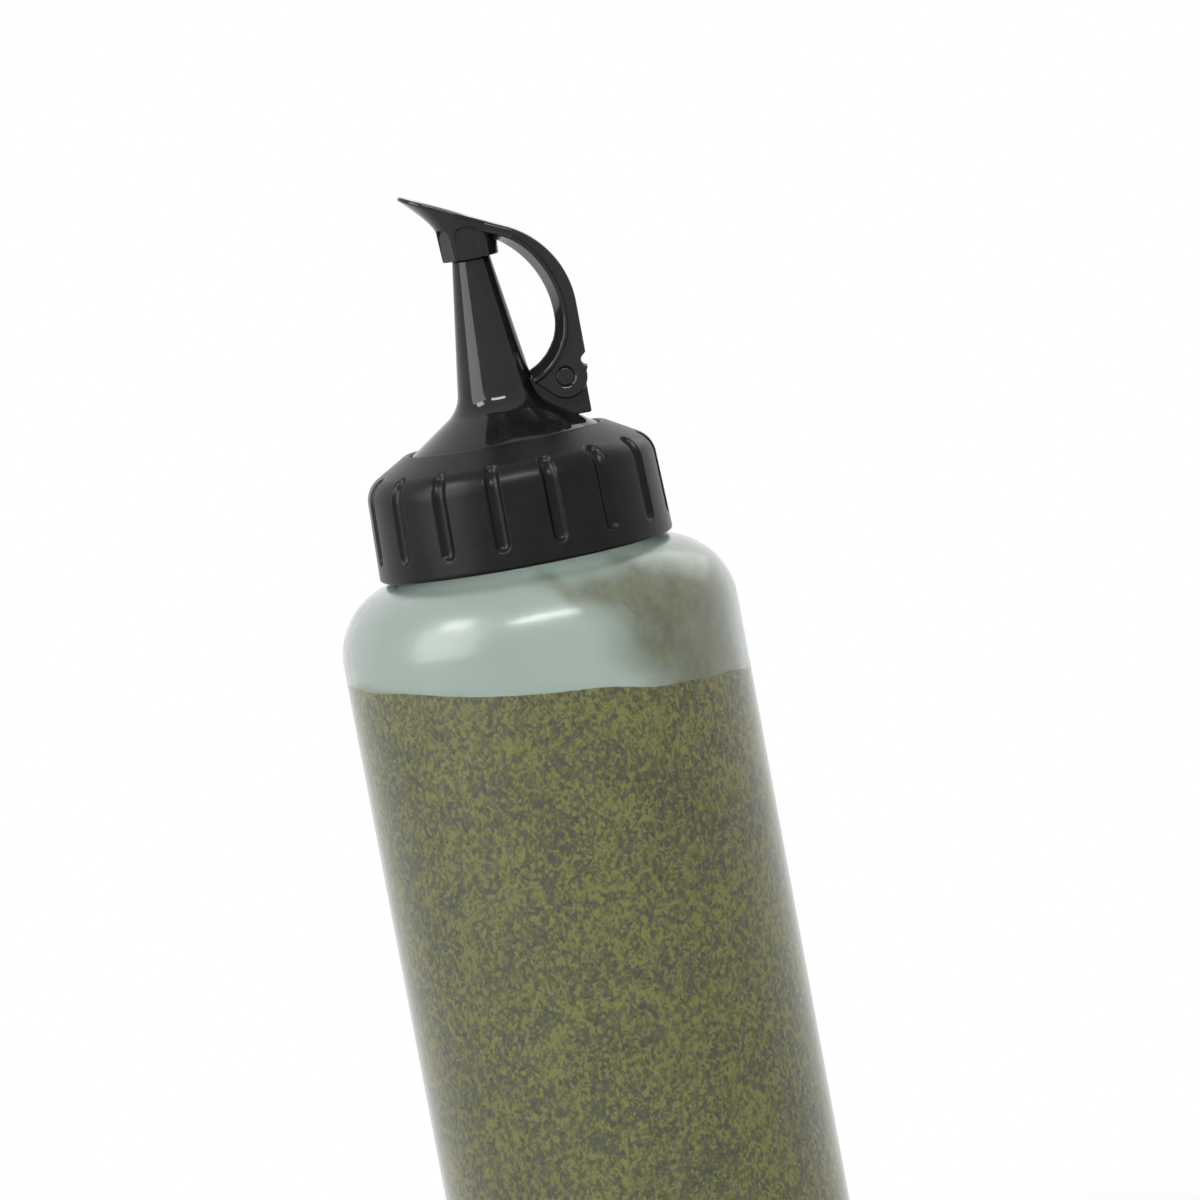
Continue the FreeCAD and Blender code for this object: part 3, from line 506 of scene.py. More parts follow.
@dataclass(frozen=True)
class MouldedBlack:
    """Black moulded plastic: a fine grain, uneven gloss and a trace of dust."""

    name: str
    dark: Colour
    light: Colour
    gloss_low: float
    gloss_high: float
    grain: float
    depth: float
    shine: float = 0.28

    def make(self) -> bpy.types.Material:
        """Return the material."""
        paint = Palette(self.name)
        cloud = paint.noise(6.0, detail=4.0, rough=0.6)
        grain = paint.noise(self.grain, detail=2.0)
        paint.link(paint.ramp(cloud, [(0.35, self.dark), (0.7, self.light)]), "Base Color")
        mottle = paint.sum(cloud, grain, 0.5)
        paint.link(paint.spread(mottle, self.gloss_low, self.gloss_high, 0.45, 1.05), "Roughness")
        paint.bump(grain, self.depth)
        paint.fix(IOR=1.5, Specular_IOR_Level=self.shine)
        return paint.material


@dataclass(frozen=True)
class MilkyWall:
    """Soft translucent plastic: hazy, with an orange-peel skin and slow waves from blowing."""

    name: str
    tint: Colour
    clear: float
    haze_low: float
    haze_high: float
    ior: float
    peel: float = 0.8
    wave: float = 9.0
    depth: float = 0.025
    coat: float = 0.8
    coat_haze: float = 0.29
    coat_ior: float = 1.47

    def make(self) -> bpy.types.Material:
        """Return the material."""
        paint = Palette(self.name)
        peel = paint.noise(self.peel, detail=2.0, rough=0.55)
        wave = paint.noise(self.wave, detail=1.0)
        cloud = paint.noise(14.0, detail=3.0, rough=0.6)
        pale = tuple(min(1.0, channel * 1.06) for channel in self.tint)
        paint.link(paint.ramp(cloud, [(0.3, self.tint), (0.7, pale)]), "Base Color")
        mottle = paint.sum(cloud, peel, 0.4)
        paint.link(paint.spread(mottle, self.haze_low, self.haze_high, 0.4, 0.95), "Roughness")
        paint.bump(paint.sum(peel, wave, 2.5), self.depth)
        paint.fix(IOR=self.ior, Transmission_Weight=self.clear, Coat_Weight=self.coat,
                  Coat_Roughness=self.coat_haze, Coat_IOR=self.coat_ior)
        return paint.material


@dataclass(frozen=True)
class HerbSauce:
    """Thick green sauce: short light and dark flecks in a wet olive base, thinner as a film."""

    name: str
    dark: Colour
    middle: Colour
    light: Colour
    fleck: float
    is_film: bool = False

    def make(self) -> bpy.types.Material:
        """Return the material."""
        paint = Palette(self.name)
        short = paint.stretched((1.0, 1.0, 0.8), (0.0, 40.0, 0.0))
        flecks = paint.noise(self.fleck, detail=3.0, rough=0.62, bend=1.6, place=short)
        bits = paint.cells(self.fleck * 0.75, place=short)
        cloud = paint.noise(11.0, detail=2.0)
        mixed = paint.sum(paint.sum(flecks, bits, 0.22), cloud, 0.25)
        stops = [(0.55, self.dark), (0.70, self.middle), (0.86, self.light)]
        paint.link(paint.ramp(mixed, stops), "Base Color")
        paint.link(paint.spread(flecks, 0.28, 0.5, 0.3, 0.7), "Roughness")
        paint.bump(flecks, 0.15)
        paint.fix(IOR=1.4, Specular_IOR_Level=0.2)
        if self.is_film:
            patches = paint.noise(5.0, detail=4.0, rough=0.6, bend=0.6)
            thin = paint.spread(patches, 0.62, 0.94, 0.36, 0.62)
            paint.link(paint.product(paint.attribute("cover"), thin), "Alpha")
        return paint.material


@dataclass(frozen=True)
class SoftSeal:
    """Soft matt seal with a fine, slightly dusty skin."""

    name: str
    dark: Colour
    light: Colour

    def make(self) -> bpy.types.Material:
        """Return the material."""
        paint = Palette(self.name)
        skin = paint.noise(0.6, detail=4.0, rough=0.6)
        paint.link(paint.ramp(skin, [(0.35, self.dark), (0.65, self.light)]), "Base Color")
        paint.link(paint.spread(skin, 0.6, 0.8), "Roughness")
        paint.bump(skin, 0.03)
        return paint.material


@dataclass
class SqueezeBody:
    """The blown bottle: shell with a domed base, a round shoulder and a threaded neck."""

    radius: float = 35.0
    wall: float = 1.2
    floor: float = 1.6
    base_corner: float = 5.0
    ring_radius: float = 27.0
    ring_round: float = 2.0
    dome: float = 3.0
    shoulder: float = 149.3
    shoulder_angle: float = 22.0
    shoulder_round: float = 13.0
    neck: float = 21.8
    neck_wall: float = 1.6
    root_round: float = 1.2
    lip_round: float = 0.4
    lip: float = 166.0
    thread_crest: float = 22.85
    thread_start: float = 157.6
    thread_turns: float = 1.5
    thread_phase: float = -60.0
    thread_width: float = 1.9
    pitch: float = 4.23
    bore_round: float = 0.6

    def rise(self) -> float:
        """Return the shoulder's rise for each millimetre inwards."""
        return math.tan(math.radians(self.shoulder_angle))

    def drop(self) -> float:
        """Return the shoulder wall's thickness measured upright."""
        return self.wall / math.cos(math.radians(self.shoulder_angle))

    def inner_corners(self) -> list[Corner]:
        """Return the inside of the profile, from the neck's bore down to the floor's middle."""
        bore = self.neck - self.neck_wall
        inner = self.radius - self.wall
        return [
            (bore, self.shoulder + (self.radius - bore) * self.rise() - self.drop(), self.bore_round),
            (inner, self.shoulder + self.wall * self.rise() - self.drop(),
             self.shoulder_round - self.wall),
            (inner, self.floor, self.base_corner - self.wall),
            (self.ring_radius, self.floor, self.ring_round),
            (0.0, self.dome + self.floor, 0.0),
        ]

    def shell(self) -> Skin:
        """Turn the profile: up the outside, over the lip and down the inside."""
        corners = [
            (0.0, self.dome, 0.0),
            (self.ring_radius, 0.0, self.ring_round),
            (self.radius, 0.0, self.base_corner),
            (self.radius, self.shoulder, self.shoulder_round),
            (self.neck, self.shoulder + (self.radius - self.neck) * self.rise(), self.root_round),
            (self.neck, self.lip, self.lip_round),
            (self.neck - self.neck_wall, self.lip, self.lip_round),
            *self.inner_corners(),
        ]
        return lathe(rounded_line(corners, False, 0.35, 3.0), even_angles(240))

    def thread(self) -> Skin:
        """Wind the neck's thread."""
        return thread_skin(self.neck, self.thread_crest, self.thread_start, self.thread_turns,
                           self.pitch, self.thread_phase, self.thread_width)

    def build(self, finish: bpy.types.Material) -> None:
        """Make the bottle with its thread."""
        make_piece("bottle_shell", self.shell().joined(self.thread()), finish, Body.BOTTLE,
                   "bottle")


@dataclass
class SauceFill:
    """The sauce: a fill whose level leans, and a smear left high on the bottle's inside.

    The gap is below zero, so the sauce runs a little into the wall and no thin layer of air shows.
    """

    bottle: SqueezeBody
    gap: float = -0.1
    level: float = 133.0
    lean_angle: float = 8.0
    lean_from: float = 95.0
    back_angle: float = 6.8
    climb: float = 1.1
    climb_power: int = 14
    ripple: float = 0.35
    cross_ripple: float = 0.18
    film_foot: float = 126.0
    film_left: float = -78.0
    film_right: float = 16.0
    film_top_share: float = 0.88
    film_side_fade: float = 0.3
    film_top_fade: float = 0.34
    film_thin: float = 0.02
    film_thick: float = 0.12

    def fill(self) -> Skin:
        """Turn the fill's profile and lean its level.

        The level climbs the wall by climb times a high power of the radius share. A point's height
        then drops by x tan(lean) and by its distance behind the front wall times tan(back), eased
        in from lean_from up to the level, with slow ripples on top.
        """
        edge = self.bottle.radius - self.bottle.wall - self.gap
        foot = self.bottle.floor + self.gap
        side = rounded_line([
            (0.0, self.bottle.dome + foot, 0.0),
            (self.bottle.ring_radius, foot, self.bottle.ring_round),
            (edge, foot, self.bottle.base_corner - self.bottle.wall - self.gap),
            (edge, self.level, 0.0),
        ], False, 0.5, 1.6)
        share = np.concatenate([1 - np.geomspace(0.004, 0.25, 14), np.linspace(0.7, 0.0, 16)])
        height = self.level + self.climb * (share ** self.climb_power - 1)
        top = np.stack([edge * share, height], axis=1)
        skin = lathe(np.concatenate([side, top]), even_angles(180))
        x, y, z = skin.points.T
        ease = eased((z - self.lean_from) / (self.level - self.climb - self.lean_from))
        ripple = (self.ripple * np.sin(0.16 * x + 0.6) * np.cos(0.19 * y - 0.4)
                  + self.cross_ripple * np.sin(0.41 * y + 0.23 * x))
        behind = y + np.sqrt(np.maximum(edge ** 2 - x ** 2, 0))
        lean = (x * math.tan(math.radians(self.lean_angle))
                + behind * math.tan(math.radians(self.back_angle)))
        skin.points[:, 2] = z + ease * (ripple - lean)
        return skin

    def smear(self) -> tuple[Skin, np.ndarray]:
        """Lay a thin film on the inner wall above the level, at the front right and round the side.

        The film is a grid of angle by distance along the wall's inside. Its edges wander by sums of
        sines, and its thickness is a share of the cover, which falls to nothing at the edges.

        Returns:
            The film's closed skin, and the cover at each of its points.
        """
        inner = self.bottle.radius - self.bottle.wall
        wall = rounded_line([(inner, self.film_foot, 0.0),
                             *reversed(self.bottle.inner_corners()[:2])], False, 0.5, 0.8)
        reach = way_along(wall)
        share, turn = np.meshgrid(np.linspace(0, 1, 90), np.linspace(0, 1, 120), indexing="ij")
        left = (self.film_left + 7 * np.sin(5.1 * share + 0.4) + 4 * np.sin(13.7 * share)
                - 10 * share ** 3)
        right = self.film_right + 9 * np.sin(4.3 * share + 1.2) + 4 * np.sin(11.9 * share + 0.5)
        angle = np.radians(left + (right - left) * turn)
        top_share = self.film_top_share - 0.05 * np.sin(9 * angle) - 0.03 * np.sin(23 * angle + 1)
        place = share * (reach[-1] * top_share)
        radius, height = (np.interp(place, reach, wall[:, axis]) for axis in (0, 1))
        slope_r = np.interp(place + 0.1, reach, wall[:, 0]) - radius
        slope_z = np.interp(place + 0.1, reach, wall[:, 1]) - height
        size = np.maximum(np.hypot(slope_r, slope_z), 1e-6)
        sides = np.minimum(turn, 1 - turn) / self.film_side_fade
        cover = eased(np.minimum(sides, (1 - share) / self.film_top_fade))
        thick = self.film_thin + self.film_thick * cover
        layers = []
        for depth in (self.film_thin, self.film_thin + thick):
            near = radius - depth * slope_z / size
            high = height + depth * slope_r / size
            layers.append(np.stack([near * np.cos(angle), near * np.sin(angle), high], axis=-1))
        skin = grid_skin(np.concatenate([layers[0], layers[1][:, ::-1]], axis=1), close_rows=False)

        rows, columns = share.shape
        first = np.arange(2 * columns)
        last = first + (rows - 1) * 2 * columns
        pair = np.arange(columns - 1)
        ends = [np.stack([row[pair], row[2 * columns - 1 - pair], row[2 * columns - 2 - pair],
                          row[pair + 1]], axis=1)[:, ::way] for row, way in ((first, 1), (last, -1))]
        return (Skin(skin.points, np.concatenate([skin.quads, *ends]), skin.tris),
                np.concatenate([cover, cover[:, ::-1]], axis=1).ravel())

    def build(self, sauce: bpy.types.Material, film: bpy.types.Material) -> None:
        """Make the fill and its smear, which carries its cover as an attribute."""
        make_piece("sauce_body", self.fill(), sauce, Body.BOTTLE, "sauce_fill", 60.0)
        skin, cover = self.smear()
        smear = make_piece("sauce_film", skin, film, Body.BOTTLE)
        values = smear.data.attributes.new("cover", "FLOAT", "POINT").data
        values.foreach_set("value", cover.astype(np.float32))


@dataclass
class ScrewCollar:
    """The screw collar: drafted side, sloping top, grip grooves and an inside thread."""

    foot: float = 154.0
    foot_radius: float = 25.98
    side_radius: float = 25.45
    corner: float = 170.51
    corner_round: float = 4.75
    top: float = 175.3
    hole_radius: float = 17.15
    bore_radius: float = 23.55
    roof_drop: float = 2.194
    foot_round: float = 0.6
    lip_round: float = 0.5
    inner_round: float = 2.0
    groove_count: int = 16
    groove_phase: float = 15.0
    groove_radius: float = 1.45
    groove_depth: float = 0.9
    groove_foot: float = 4.5
    groove_top: float = 23.9
    groove_edge: float = 0.12
    groove_room: float = 1.7
    groove_knee_share: float = 0.95
    groove_reach: float = 1.2
    foot_inner: float = 24.6
    bore_foot: float = 24.08
    lip_depth: float = 1.0
    thread_crest: float = 22.3
    thread_sink: float = 0.15
    thread_turns: float = 1.4
    thread_width: float = 1.8

    def outer(self) -> np.ndarray:
        """Return the outside of the profile, from under the foot to the lip of the hole."""
        return rounded_line([
            (self.foot_inner, self.foot, 0.0),
            (self.foot_radius, self.foot, self.foot_round),
            (self.side_radius, self.corner, self.corner_round),
            (self.hole_radius, self.top, self.lip_round),
            (self.hole_radius, self.top - self.lip_depth, 0.0),
        ], False, 0.22, 0.28)

    def inner(self) -> np.ndarray:
        """Return the inside of the profile, from the hole down to the foot."""
        slope = (self.top - self.corner) / (self.side_radius - self.hole_radius)
        roof = self.top - self.roof_drop
        return rounded_line([
            (self.hole_radius, roof, 0.0),
            (self.bore_radius, roof - (self.bore_radius - self.hole_radius) * slope,
             self.inner_round),
            (self.bore_foot, self.foot, 0.0),
        ], False, 0.6, 2.5)

    def shell(self) -> Skin:
        """Turn the profile and press the grooves into it.

        A groove's middle line runs along the outside from one end to the other. Where the surface is
        some way from that line, a round cutter reaches sqrt(radius^2 - way^2) - (radius - depth) into
        it, so both ends are round. Half of x + sqrt(x^2 + edge^2) rounds the groove's edge off.
        """
        outer, inner = self.outer(), self.inner()
        tangent = np.gradient(outer, axis=0)
        tangent /= np.linalg.norm(tangent, axis=1, keepdims=True)
        normal = np.stack([tangent[:, 1], -tangent[:, 0]], axis=1)
        reach = way_along(outer)
        rising = outer[:, 1] > self.foot + 1
        start = np.interp(self.foot + self.groove_foot, outer[rising, 1], reach[rising])
        end = np.interp(-self.groove_top, -outer[rising, 0], reach[rising])
        beyond = (np.maximum(start - reach, 0) + np.maximum(reach - end, 0))[:, None]

        sector = 2 * np.pi / self.groove_count
        half = self.groove_room / self.side_radius
        inside = np.linspace(-half, half, 29)[:-1]
        outside = np.linspace(half, sector - half, 10)[:-1]
        columns = np.concatenate([inside, outside])
        offset = np.tile(columns, self.groove_count)
        offset = np.where(offset > sector / 2, offset - sector, offset)
        starts = np.repeat(np.arange(self.groove_count) * sector, len(columns))
        angles = np.radians(self.groove_phase) + starts + np.tile(columns, self.groove_count)

        way = np.hypot(outer[:, :1] * np.sin(offset)[None], beyond)
        knee = self.groove_knee_share * self.groove_radius
        low = math.sqrt(self.groove_radius ** 2 - knee ** 2)
        round_cut = np.sqrt(np.maximum(self.groove_radius ** 2 - way ** 2, 0))
        cut = np.where(way < knee, round_cut, low - (way - knee) * knee / low)
        cut = cut - (self.groove_radius - self.groove_depth)
        depth = (cut + np.sqrt(cut ** 2 + self.groove_edge ** 2)) / 2
        depth = np.where(cut < -self.groove_reach, 0, depth)
        radius = outer[:, :1] - depth * normal[:, :1]
        level = outer[:, 1:] - depth * normal[:, 1:]
        grooved = np.stack([radius * np.cos(angles), radius * np.sin(angles), level], axis=-1)
        flat = np.ones((len(inner), len(angles)))
        plain = np.stack([inner[:, :1] * np.cos(angles), inner[:, :1] * np.sin(angles),
                          inner[:, 1:] * flat], axis=-1)
        return grid_skin(np.concatenate([grooved, plain]), close_rows=True).facing_out()

    def thread(self, bottle: SqueezeBody) -> Skin:
        """Wind the inside thread, half a pitch from the neck's."""
        return thread_skin(self.bore_radius + self.thread_sink, self.thread_crest,
                           bottle.thread_start - bottle.pitch / 2, self.thread_turns, bottle.pitch,
                           bottle.thread_phase, self.thread_width)

    def build(self, finish: bpy.types.Material, bottle: SqueezeBody) -> None:
        """Make the collar with its thread."""
        make_piece("collar_shell", self.shell().joined(self.thread(bottle)), finish, Body.COLLAR,
                   "screw_collar", 50.0)


@dataclass
class NozzleCone:
    """The nozzle: plug, flange and flare under a long cone, with a hinge lug and its pin."""

    plug_foot: float = 163.7
    plug_radius: float = 19.8
    bore_radius: float = 18.4
    flange_foot: float = 167.2
    flange_radius: float = 22.3
    flange_top: float = 169.73
    throat: float = 169.6
    flare_radius: float = 16.5
    seam_foot: float = 173.08
    flare_top: float = 174.6
    root_radius: float = 7.08
    root: float = 181.07
    root_round: float = 6.0
    tip_radius: float = 3.25
    tip: float = 207.35
    tip_round: float = 1.0
    orifice: float = 1.4
    land: float = 205.15
    channel: Corner = (5.58, 180.28, 3.0)
    throat_round: float = 0.8
    plug_round: float = 0.4
    flange_round: float = 0.3
    flange_foot_round: float = 0.25
    orifice_round: float = 0.2
    lug_half: float = 2.1
    lug_round: float = 0.25
    lug_corners: tuple[Corner, ...] = (
        (11.5, 176.75, 0.0), (15.8, 176.7, 0.4), (15.8, 187.0, 3.3), (9.0, 187.0, 3.3),
        (9.0, 184.4, 0.5), (5.9, 184.4, 0.0), (7.0, 180.0, 0.0),
    )
    pin_x: float = 12.4
    pin_z: float = 183.6
    pin_radius: float = 1.6
    pin_half: float = 3.75
    pin_round: float = 0.3

    def cone(self) -> Skin:
        """Turn the nozzle's profile: up the outside, over the tip and down the bore."""
        profile = rounded_line([
            (self.plug_radius, self.plug_foot, self.plug_round),
            (self.plug_radius, self.flange_foot, self.flange_round),
            (self.flange_radius, self.flange_foot, self.flange_foot_round),
            (self.flange_radius, self.flange_top, self.flange_round),
            (self.flare_radius, self.seam_foot, self.flange_round),
            (self.flare_radius, self.flare_top, self.plug_round),
            (self.root_radius, self.root, self.root_round),
            (self.tip_radius, self.tip, self.tip_round),
            (self.orifice, self.tip, self.orifice_round),
            (self.orifice, self.land, 0.0),
            self.channel,
            (self.bore_radius, self.throat, self.throat_round),
            (self.bore_radius, self.plug_foot, self.plug_round),
        ], True, 0.12, 1.5)
        return lathe(profile, even_angles(160))

    def lug(self) -> Skin:
        """Carry the lug's outline along Y: a round ear over the pin, on a foot at the flare."""
        outline = rounded_line(list(self.lug_corners), True, 0.2, 1.0)
        return slab(outline, -self.lug_half, self.lug_half, self.lug_round, self.lug_round)

    def pin(self) -> Skin:
        """Turn the pin's profile about its own axis, along Y."""
        half, edge, bend = self.pin_half, self.pin_radius, self.pin_round
        profile = rounded_line([
            (0.0, -half, 0.0), (edge, -half, bend), (edge, half, bend), (0.0, half, 0.0),
        ], False, 0.08, 0.5)
        skin = lathe(profile, even_angles(64))
        x, y, z = skin.points.T
        return Skin(np.stack([self.pin_x + x, -z, self.pin_z + y], axis=1), skin.quads, skin.tris)

    def build(self, finish: bpy.types.Material, seal: bpy.types.Material) -> None:
        """Make the nozzle and its pin, and dress the ring under its flange."""
        make_piece("nozzle_cone", self.cone().joined(self.lug()), finish, Body.NOZZLE,
                   "nozzle")
        make_piece("lever_pin", self.pin(), finish, Body.NOZZLE, "hinge_pin")
        dress_node("neck_seal", seal)


@dataclass
class FlipLever:
    """The flip lever: bowed arm, hinge cheeks, tip cup and dished thumb pad."""

    pad_top: float = 214.45
    pad_angle: float = 25.7
    pad_tip: float = 11.65
    pad_tail: float = 3.5
    pad_half: float = 6.2
    pad_edge: float = 0.7
    pad_tip_share: float = 0.95
    pad_tail_share: float = 0.81
    pad_ease: float = 0.02
    pad_edge_steps: tuple[tuple[float, float], ...] = (
        (0.03, 0.62), (0.0, 0.5), (0.0, 0.28), (0.05, 0.12), (0.13, 0.03), (0.25, 0.0),
    )
    dish_radius: float = 16.0
    dish_depth: float = 0.8
    dish_forward: float = 4.2
    dish_edge: float = 0.1
    cup_foot: float = 206.7
    cup_height: float = 6.3
    cup_radius: float = 4.95
    cup_top_radius: float = 5.25
    cup_round: float = 0.35
    recess_radius: float = 3.9
    recess_mouth: float = 0.5
    recess_top: float = 208.6
    recess_steps: tuple[float, ...] = (0.1, 0.7, 1.2)
    rim_inset: float = 0.12
    flare_drop: float = 1.2
    flare_gain: float = 1.08
    flare_lift_share: float = 0.28
    flare_lean_share: float = 0.01
    flat_away: float = 4.46
    flat_half: float = 2.1
    flat_top: float = 212.4
    flat_round: float = 1.68
    flat_fade: float = 0.13
    flat_angles: tuple[float, ...] = (270.0, 210.0, 150.0, 90.0)
    arm_start: float = 1.1
    back_start: float = 2.0
    back_sink: float = 0.12
    back_sink_share: float = 0.2
    back: float = 16.6
    back_round: float = 16.6
    window_x: float = 12.4
    window_z: float = 194.6
    bow_top: float = 17.477
    bow_foot: float = 9.719
    bow_share: float = 0.985
    overrun: float = 2.0
    heel_x: float = 6.35
    toe: tuple[float, float] = (6.9, 183.6)
    arm_half: float = 4.0
    rib_half: float = 4.6
    rib_near: float = 1.55
    rib_near_round: float = 0.42
    rib_far: float = 2.1
    rib_far_round: float = 0.2
    rib_foot: float = 0.17
    rib_foot_round: float = 0.16
    rib_start_share: float = 0.6
    rib_grow_share: float = 0.4
    web_start: float = 2.45
    web_room: float = 0.75
    lap: float = 0.05
    nose_half: float = 0.15
    nose_from_share: float = 0.55
    nose_grow_share: float = 0.4
    slot_half: float = 2.4
    slot_roof: float = 190.0
    edge_round: float = 0.6
    toe_round: float = 0.25
    thinnest: float = 0.02
    even_share: float = 0.42
    blend_share: float = 0.8
    pin: tuple[float, float] = (12.4, 183.6)
    hole_radius: float = 1.66
    hole_edge: float = 0.36
    hole_sink: float = 0.25
    boss_radius: float = 3.83
    boss_angles: tuple[float, float] = (225.0, 365.5)
    boss_round: float = 0.4
    notch: tuple[float, float] = (16.75, 185.9)
    notch_radius: float = 1.17
    notch_angles: tuple[float, float] = (259.5, 120.0)
    notch_round: float = 0.15
    notch_top: float = 187.3

    def slope(self) -> float:
        """Return the pad's fall for each millimetre along X."""
        return math.tan(math.radians(self.pad_angle))

    def window(self) -> np.ndarray:
        """Return the window's edge from inside the cup, round the bow and down to the heel."""
        front = self.window_x - self.bow_top - self.overrun
        line = rounded_line([
            (front, self.window_z + self.bow_top, 0.0),
            (self.window_x, self.window_z + self.bow_top, self.bow_top * self.bow_share),
            (self.window_x, self.window_z - self.bow_foot, self.bow_foot * self.bow_share),
            (front, self.window_z - self.bow_foot, 0.0),
        ], False, 0.06, 0.06)
        ends = np.where(line[:, 1] > self.window_z, self.arm_start, self.heel_x)
        return line[line[:, 0] >= ends]

    def low_bow(self) -> tuple[np.ndarray, float]:
        """Return the middle and the radius of the window's lower bow."""
        radius = self.bow_foot * self.bow_share
        return np.array([self.window_x - radius, self.window_z - self.bow_foot + radius]), radius

    def roof_corner(self) -> np.ndarray:
        """Return the point of the window's edge at the slot's roof."""
        (middle_x, middle_z), radius = self.low_bow()
        across = math.sqrt(radius ** 2 - (middle_z - self.slot_roof) ** 2)
        return np.array([middle_x + across, self.slot_roof])

    def from_window(self, points: np.ndarray) -> np.ndarray:
        """Return how far points in the lever's plane are from the lower bow of the window."""
        middle, radius = self.low_bow()
        return np.linalg.norm(points - middle, axis=-1) - radius

    def rib(self) -> np.ndarray:
        """Return half the lever's width by the distance from the window: bevel, rib and web."""
        return rounded_line([
            (0.0, self.nose_half, 0.0),
            (self.rib_near, self.rib_half, self.rib_near_round),
            (self.rib_far, self.rib_half, self.rib_far_round),
            (self.rib_far + self.rib_foot, self.arm_half, self.rib_foot_round),
            (self.web_start + self.lap, self.arm_half, 0.0),
        ], False, 0.03, 0.6)

    def nosed(self, away: np.ndarray, half: np.ndarray, nose: np.ndarray | float) -> np.ndarray:
        """Return half widths whose bevel starts from another width of the nose."""
        share = (half - self.nose_half) / (self.rib_half - self.nose_half)
        return np.where(away < self.rib_near, nose + (self.rib_half - nose) * share, half)

    def arm(self) -> Skin:
        """Carry a section along the arm, from inside the cup to the roof of the hinge's slot.

        A section lies on a line from the window's edge to the arm's outer edge. Along it the half
        width follows the rib's profile and then a quarter circle at the outer edge; the other side
        of the section is its mirror image. The rib grows from the cup down the arm, and the bevel's
        nose widens to the slot on the way to the hinge.
        """
        window = self.window()
        above = window[window[:, 1] > self.slot_roof]
        inner = resampled(np.concatenate([above, [self.roof_corner()]]), 200)
        outer = resampled(rounded_line([
            (self.back_start, self.pad_top - self.back_start * self.slope(), 0.0),
            (self.back, self.pad_top - self.back * self.slope(), self.back_round),
            (self.back, self.slot_roof, 0.0),
        ], False, 0.1, 0.1), 200)
        share = np.linspace(0, 1, 200)
        outer[:, 1] -= self.back_sink * (1 - eased(share / self.back_sink_share))
        span = outer - inner
        width = np.linalg.norm(span, axis=1, keepdims=True)
        way = span / width
        tangent = np.gradient(inner, axis=0)
        normal = np.stack([-tangent[:, 1], tangent[:, 0]], axis=1)
        normal /= np.linalg.norm(normal, axis=1, keepdims=True)
        square = np.sum(way * normal, axis=1, keepdims=True)

        rib = self.rib()
        growth = eased(share / self.rib_grow_share)[:, None]
        breadth = np.minimum(1, (width * square - self.web_room) / self.web_start)
        breadth = breadth * (self.rib_start_share + (1 - self.rib_start_share) * growth)
        widening = self.slot_half + self.lap - self.nose_half
        nose = self.nose_half + widening * eased((share - self.nose_from_share) / self.nose_grow_share)
        half_in = self.nosed(rib[None, :, 0], rib[None, :, 1], nose[:, None])
        along_in = rib[None, :, 0] * breadth / square
        turn = np.linspace(0, np.pi / 2, 8)
        along_out = width - self.edge_round * (1 - np.sin(turn))
        half_out = self.arm_half - self.edge_round * (1 - np.cos(turn))
        half_out = np.broadcast_to(half_out, along_out.shape)
        along = np.concatenate([along_in, along_out], axis=1)
        half = np.concatenate([half_in, half_out], axis=1)
        flat = inner[:, None] + way[:, None] * along[..., None]
        near, far = (np.stack([flat[..., 0], side * half, flat[..., 1]], axis=-1)
                     for side in (-1, 1))
        return capped_skin(np.concatenate([near, far[:, ::-1]], axis=1))

    def cheek_outline(self) -> tuple[np.ndarray, np.ndarray]:
        """Return a cheek's outline, anticlockwise from the slot's roof, and its edge roundings."""
        window = self.window()
        window = np.concatenate([[self.roof_corner()], window[window[:, 1] < self.slot_roof]])
        pin, notch = np.array(self.pin), np.array(self.notch)
        arc = np.radians(np.linspace(*self.boss_angles, 72))
        boss = pin + self.boss_radius * np.stack([np.cos(arc), np.sin(arc)], axis=1)
        bite = np.radians(np.linspace(*self.notch_angles, 18))
        notch_line = notch + self.notch_radius * np.stack([np.cos(bite), np.sin(bite)], axis=1)
        back = np.array([[self.back, self.slot_roof]])
        runs = [
            (resampled(np.concatenate([back, window[:1]]), 40)[:-1], 0.0),
            (window, 0.0),
            (resampled(np.array([window[-1], self.toe]), 14)[1:], self.toe_round),
            (resampled(np.array([self.toe, boss[0]]), 24)[1:], self.boss_round),
            (boss[1:], self.boss_round),
            (resampled(np.array([boss[-1], notch_line[0]]), 6)[1:], self.notch_round),
            (notch_line[1:], self.notch_round),
            (resampled(np.array([[self.back, self.notch_top], back[0]]), 20)[:-1], self.edge_round),
        ]
        return (np.concatenate([run for run, _ in runs]),
                np.concatenate([np.full(len(run), rounding) for run, rounding in runs]))

    def cheek(self, side: int) -> Skin:
        """Make one hinge cheek as rays from the pin's hole out to the cheek's outline.

        A ray's columns are spaced by their distance from the window where the ray ends at it, so that
        they follow the rib, and evenly elsewhere. The half width is the rib's profile at that
        distance, less a quarter circle along the outline's rounded edges.
        """
        outline, rounding = self.cheek_outline()
        pin = np.array(self.pin)
        ray = outline - pin
        length = np.linalg.norm(ray, axis=1, keepdims=True)
        ray = ray / length
        end_away = self.from_window(outline)[:, None]

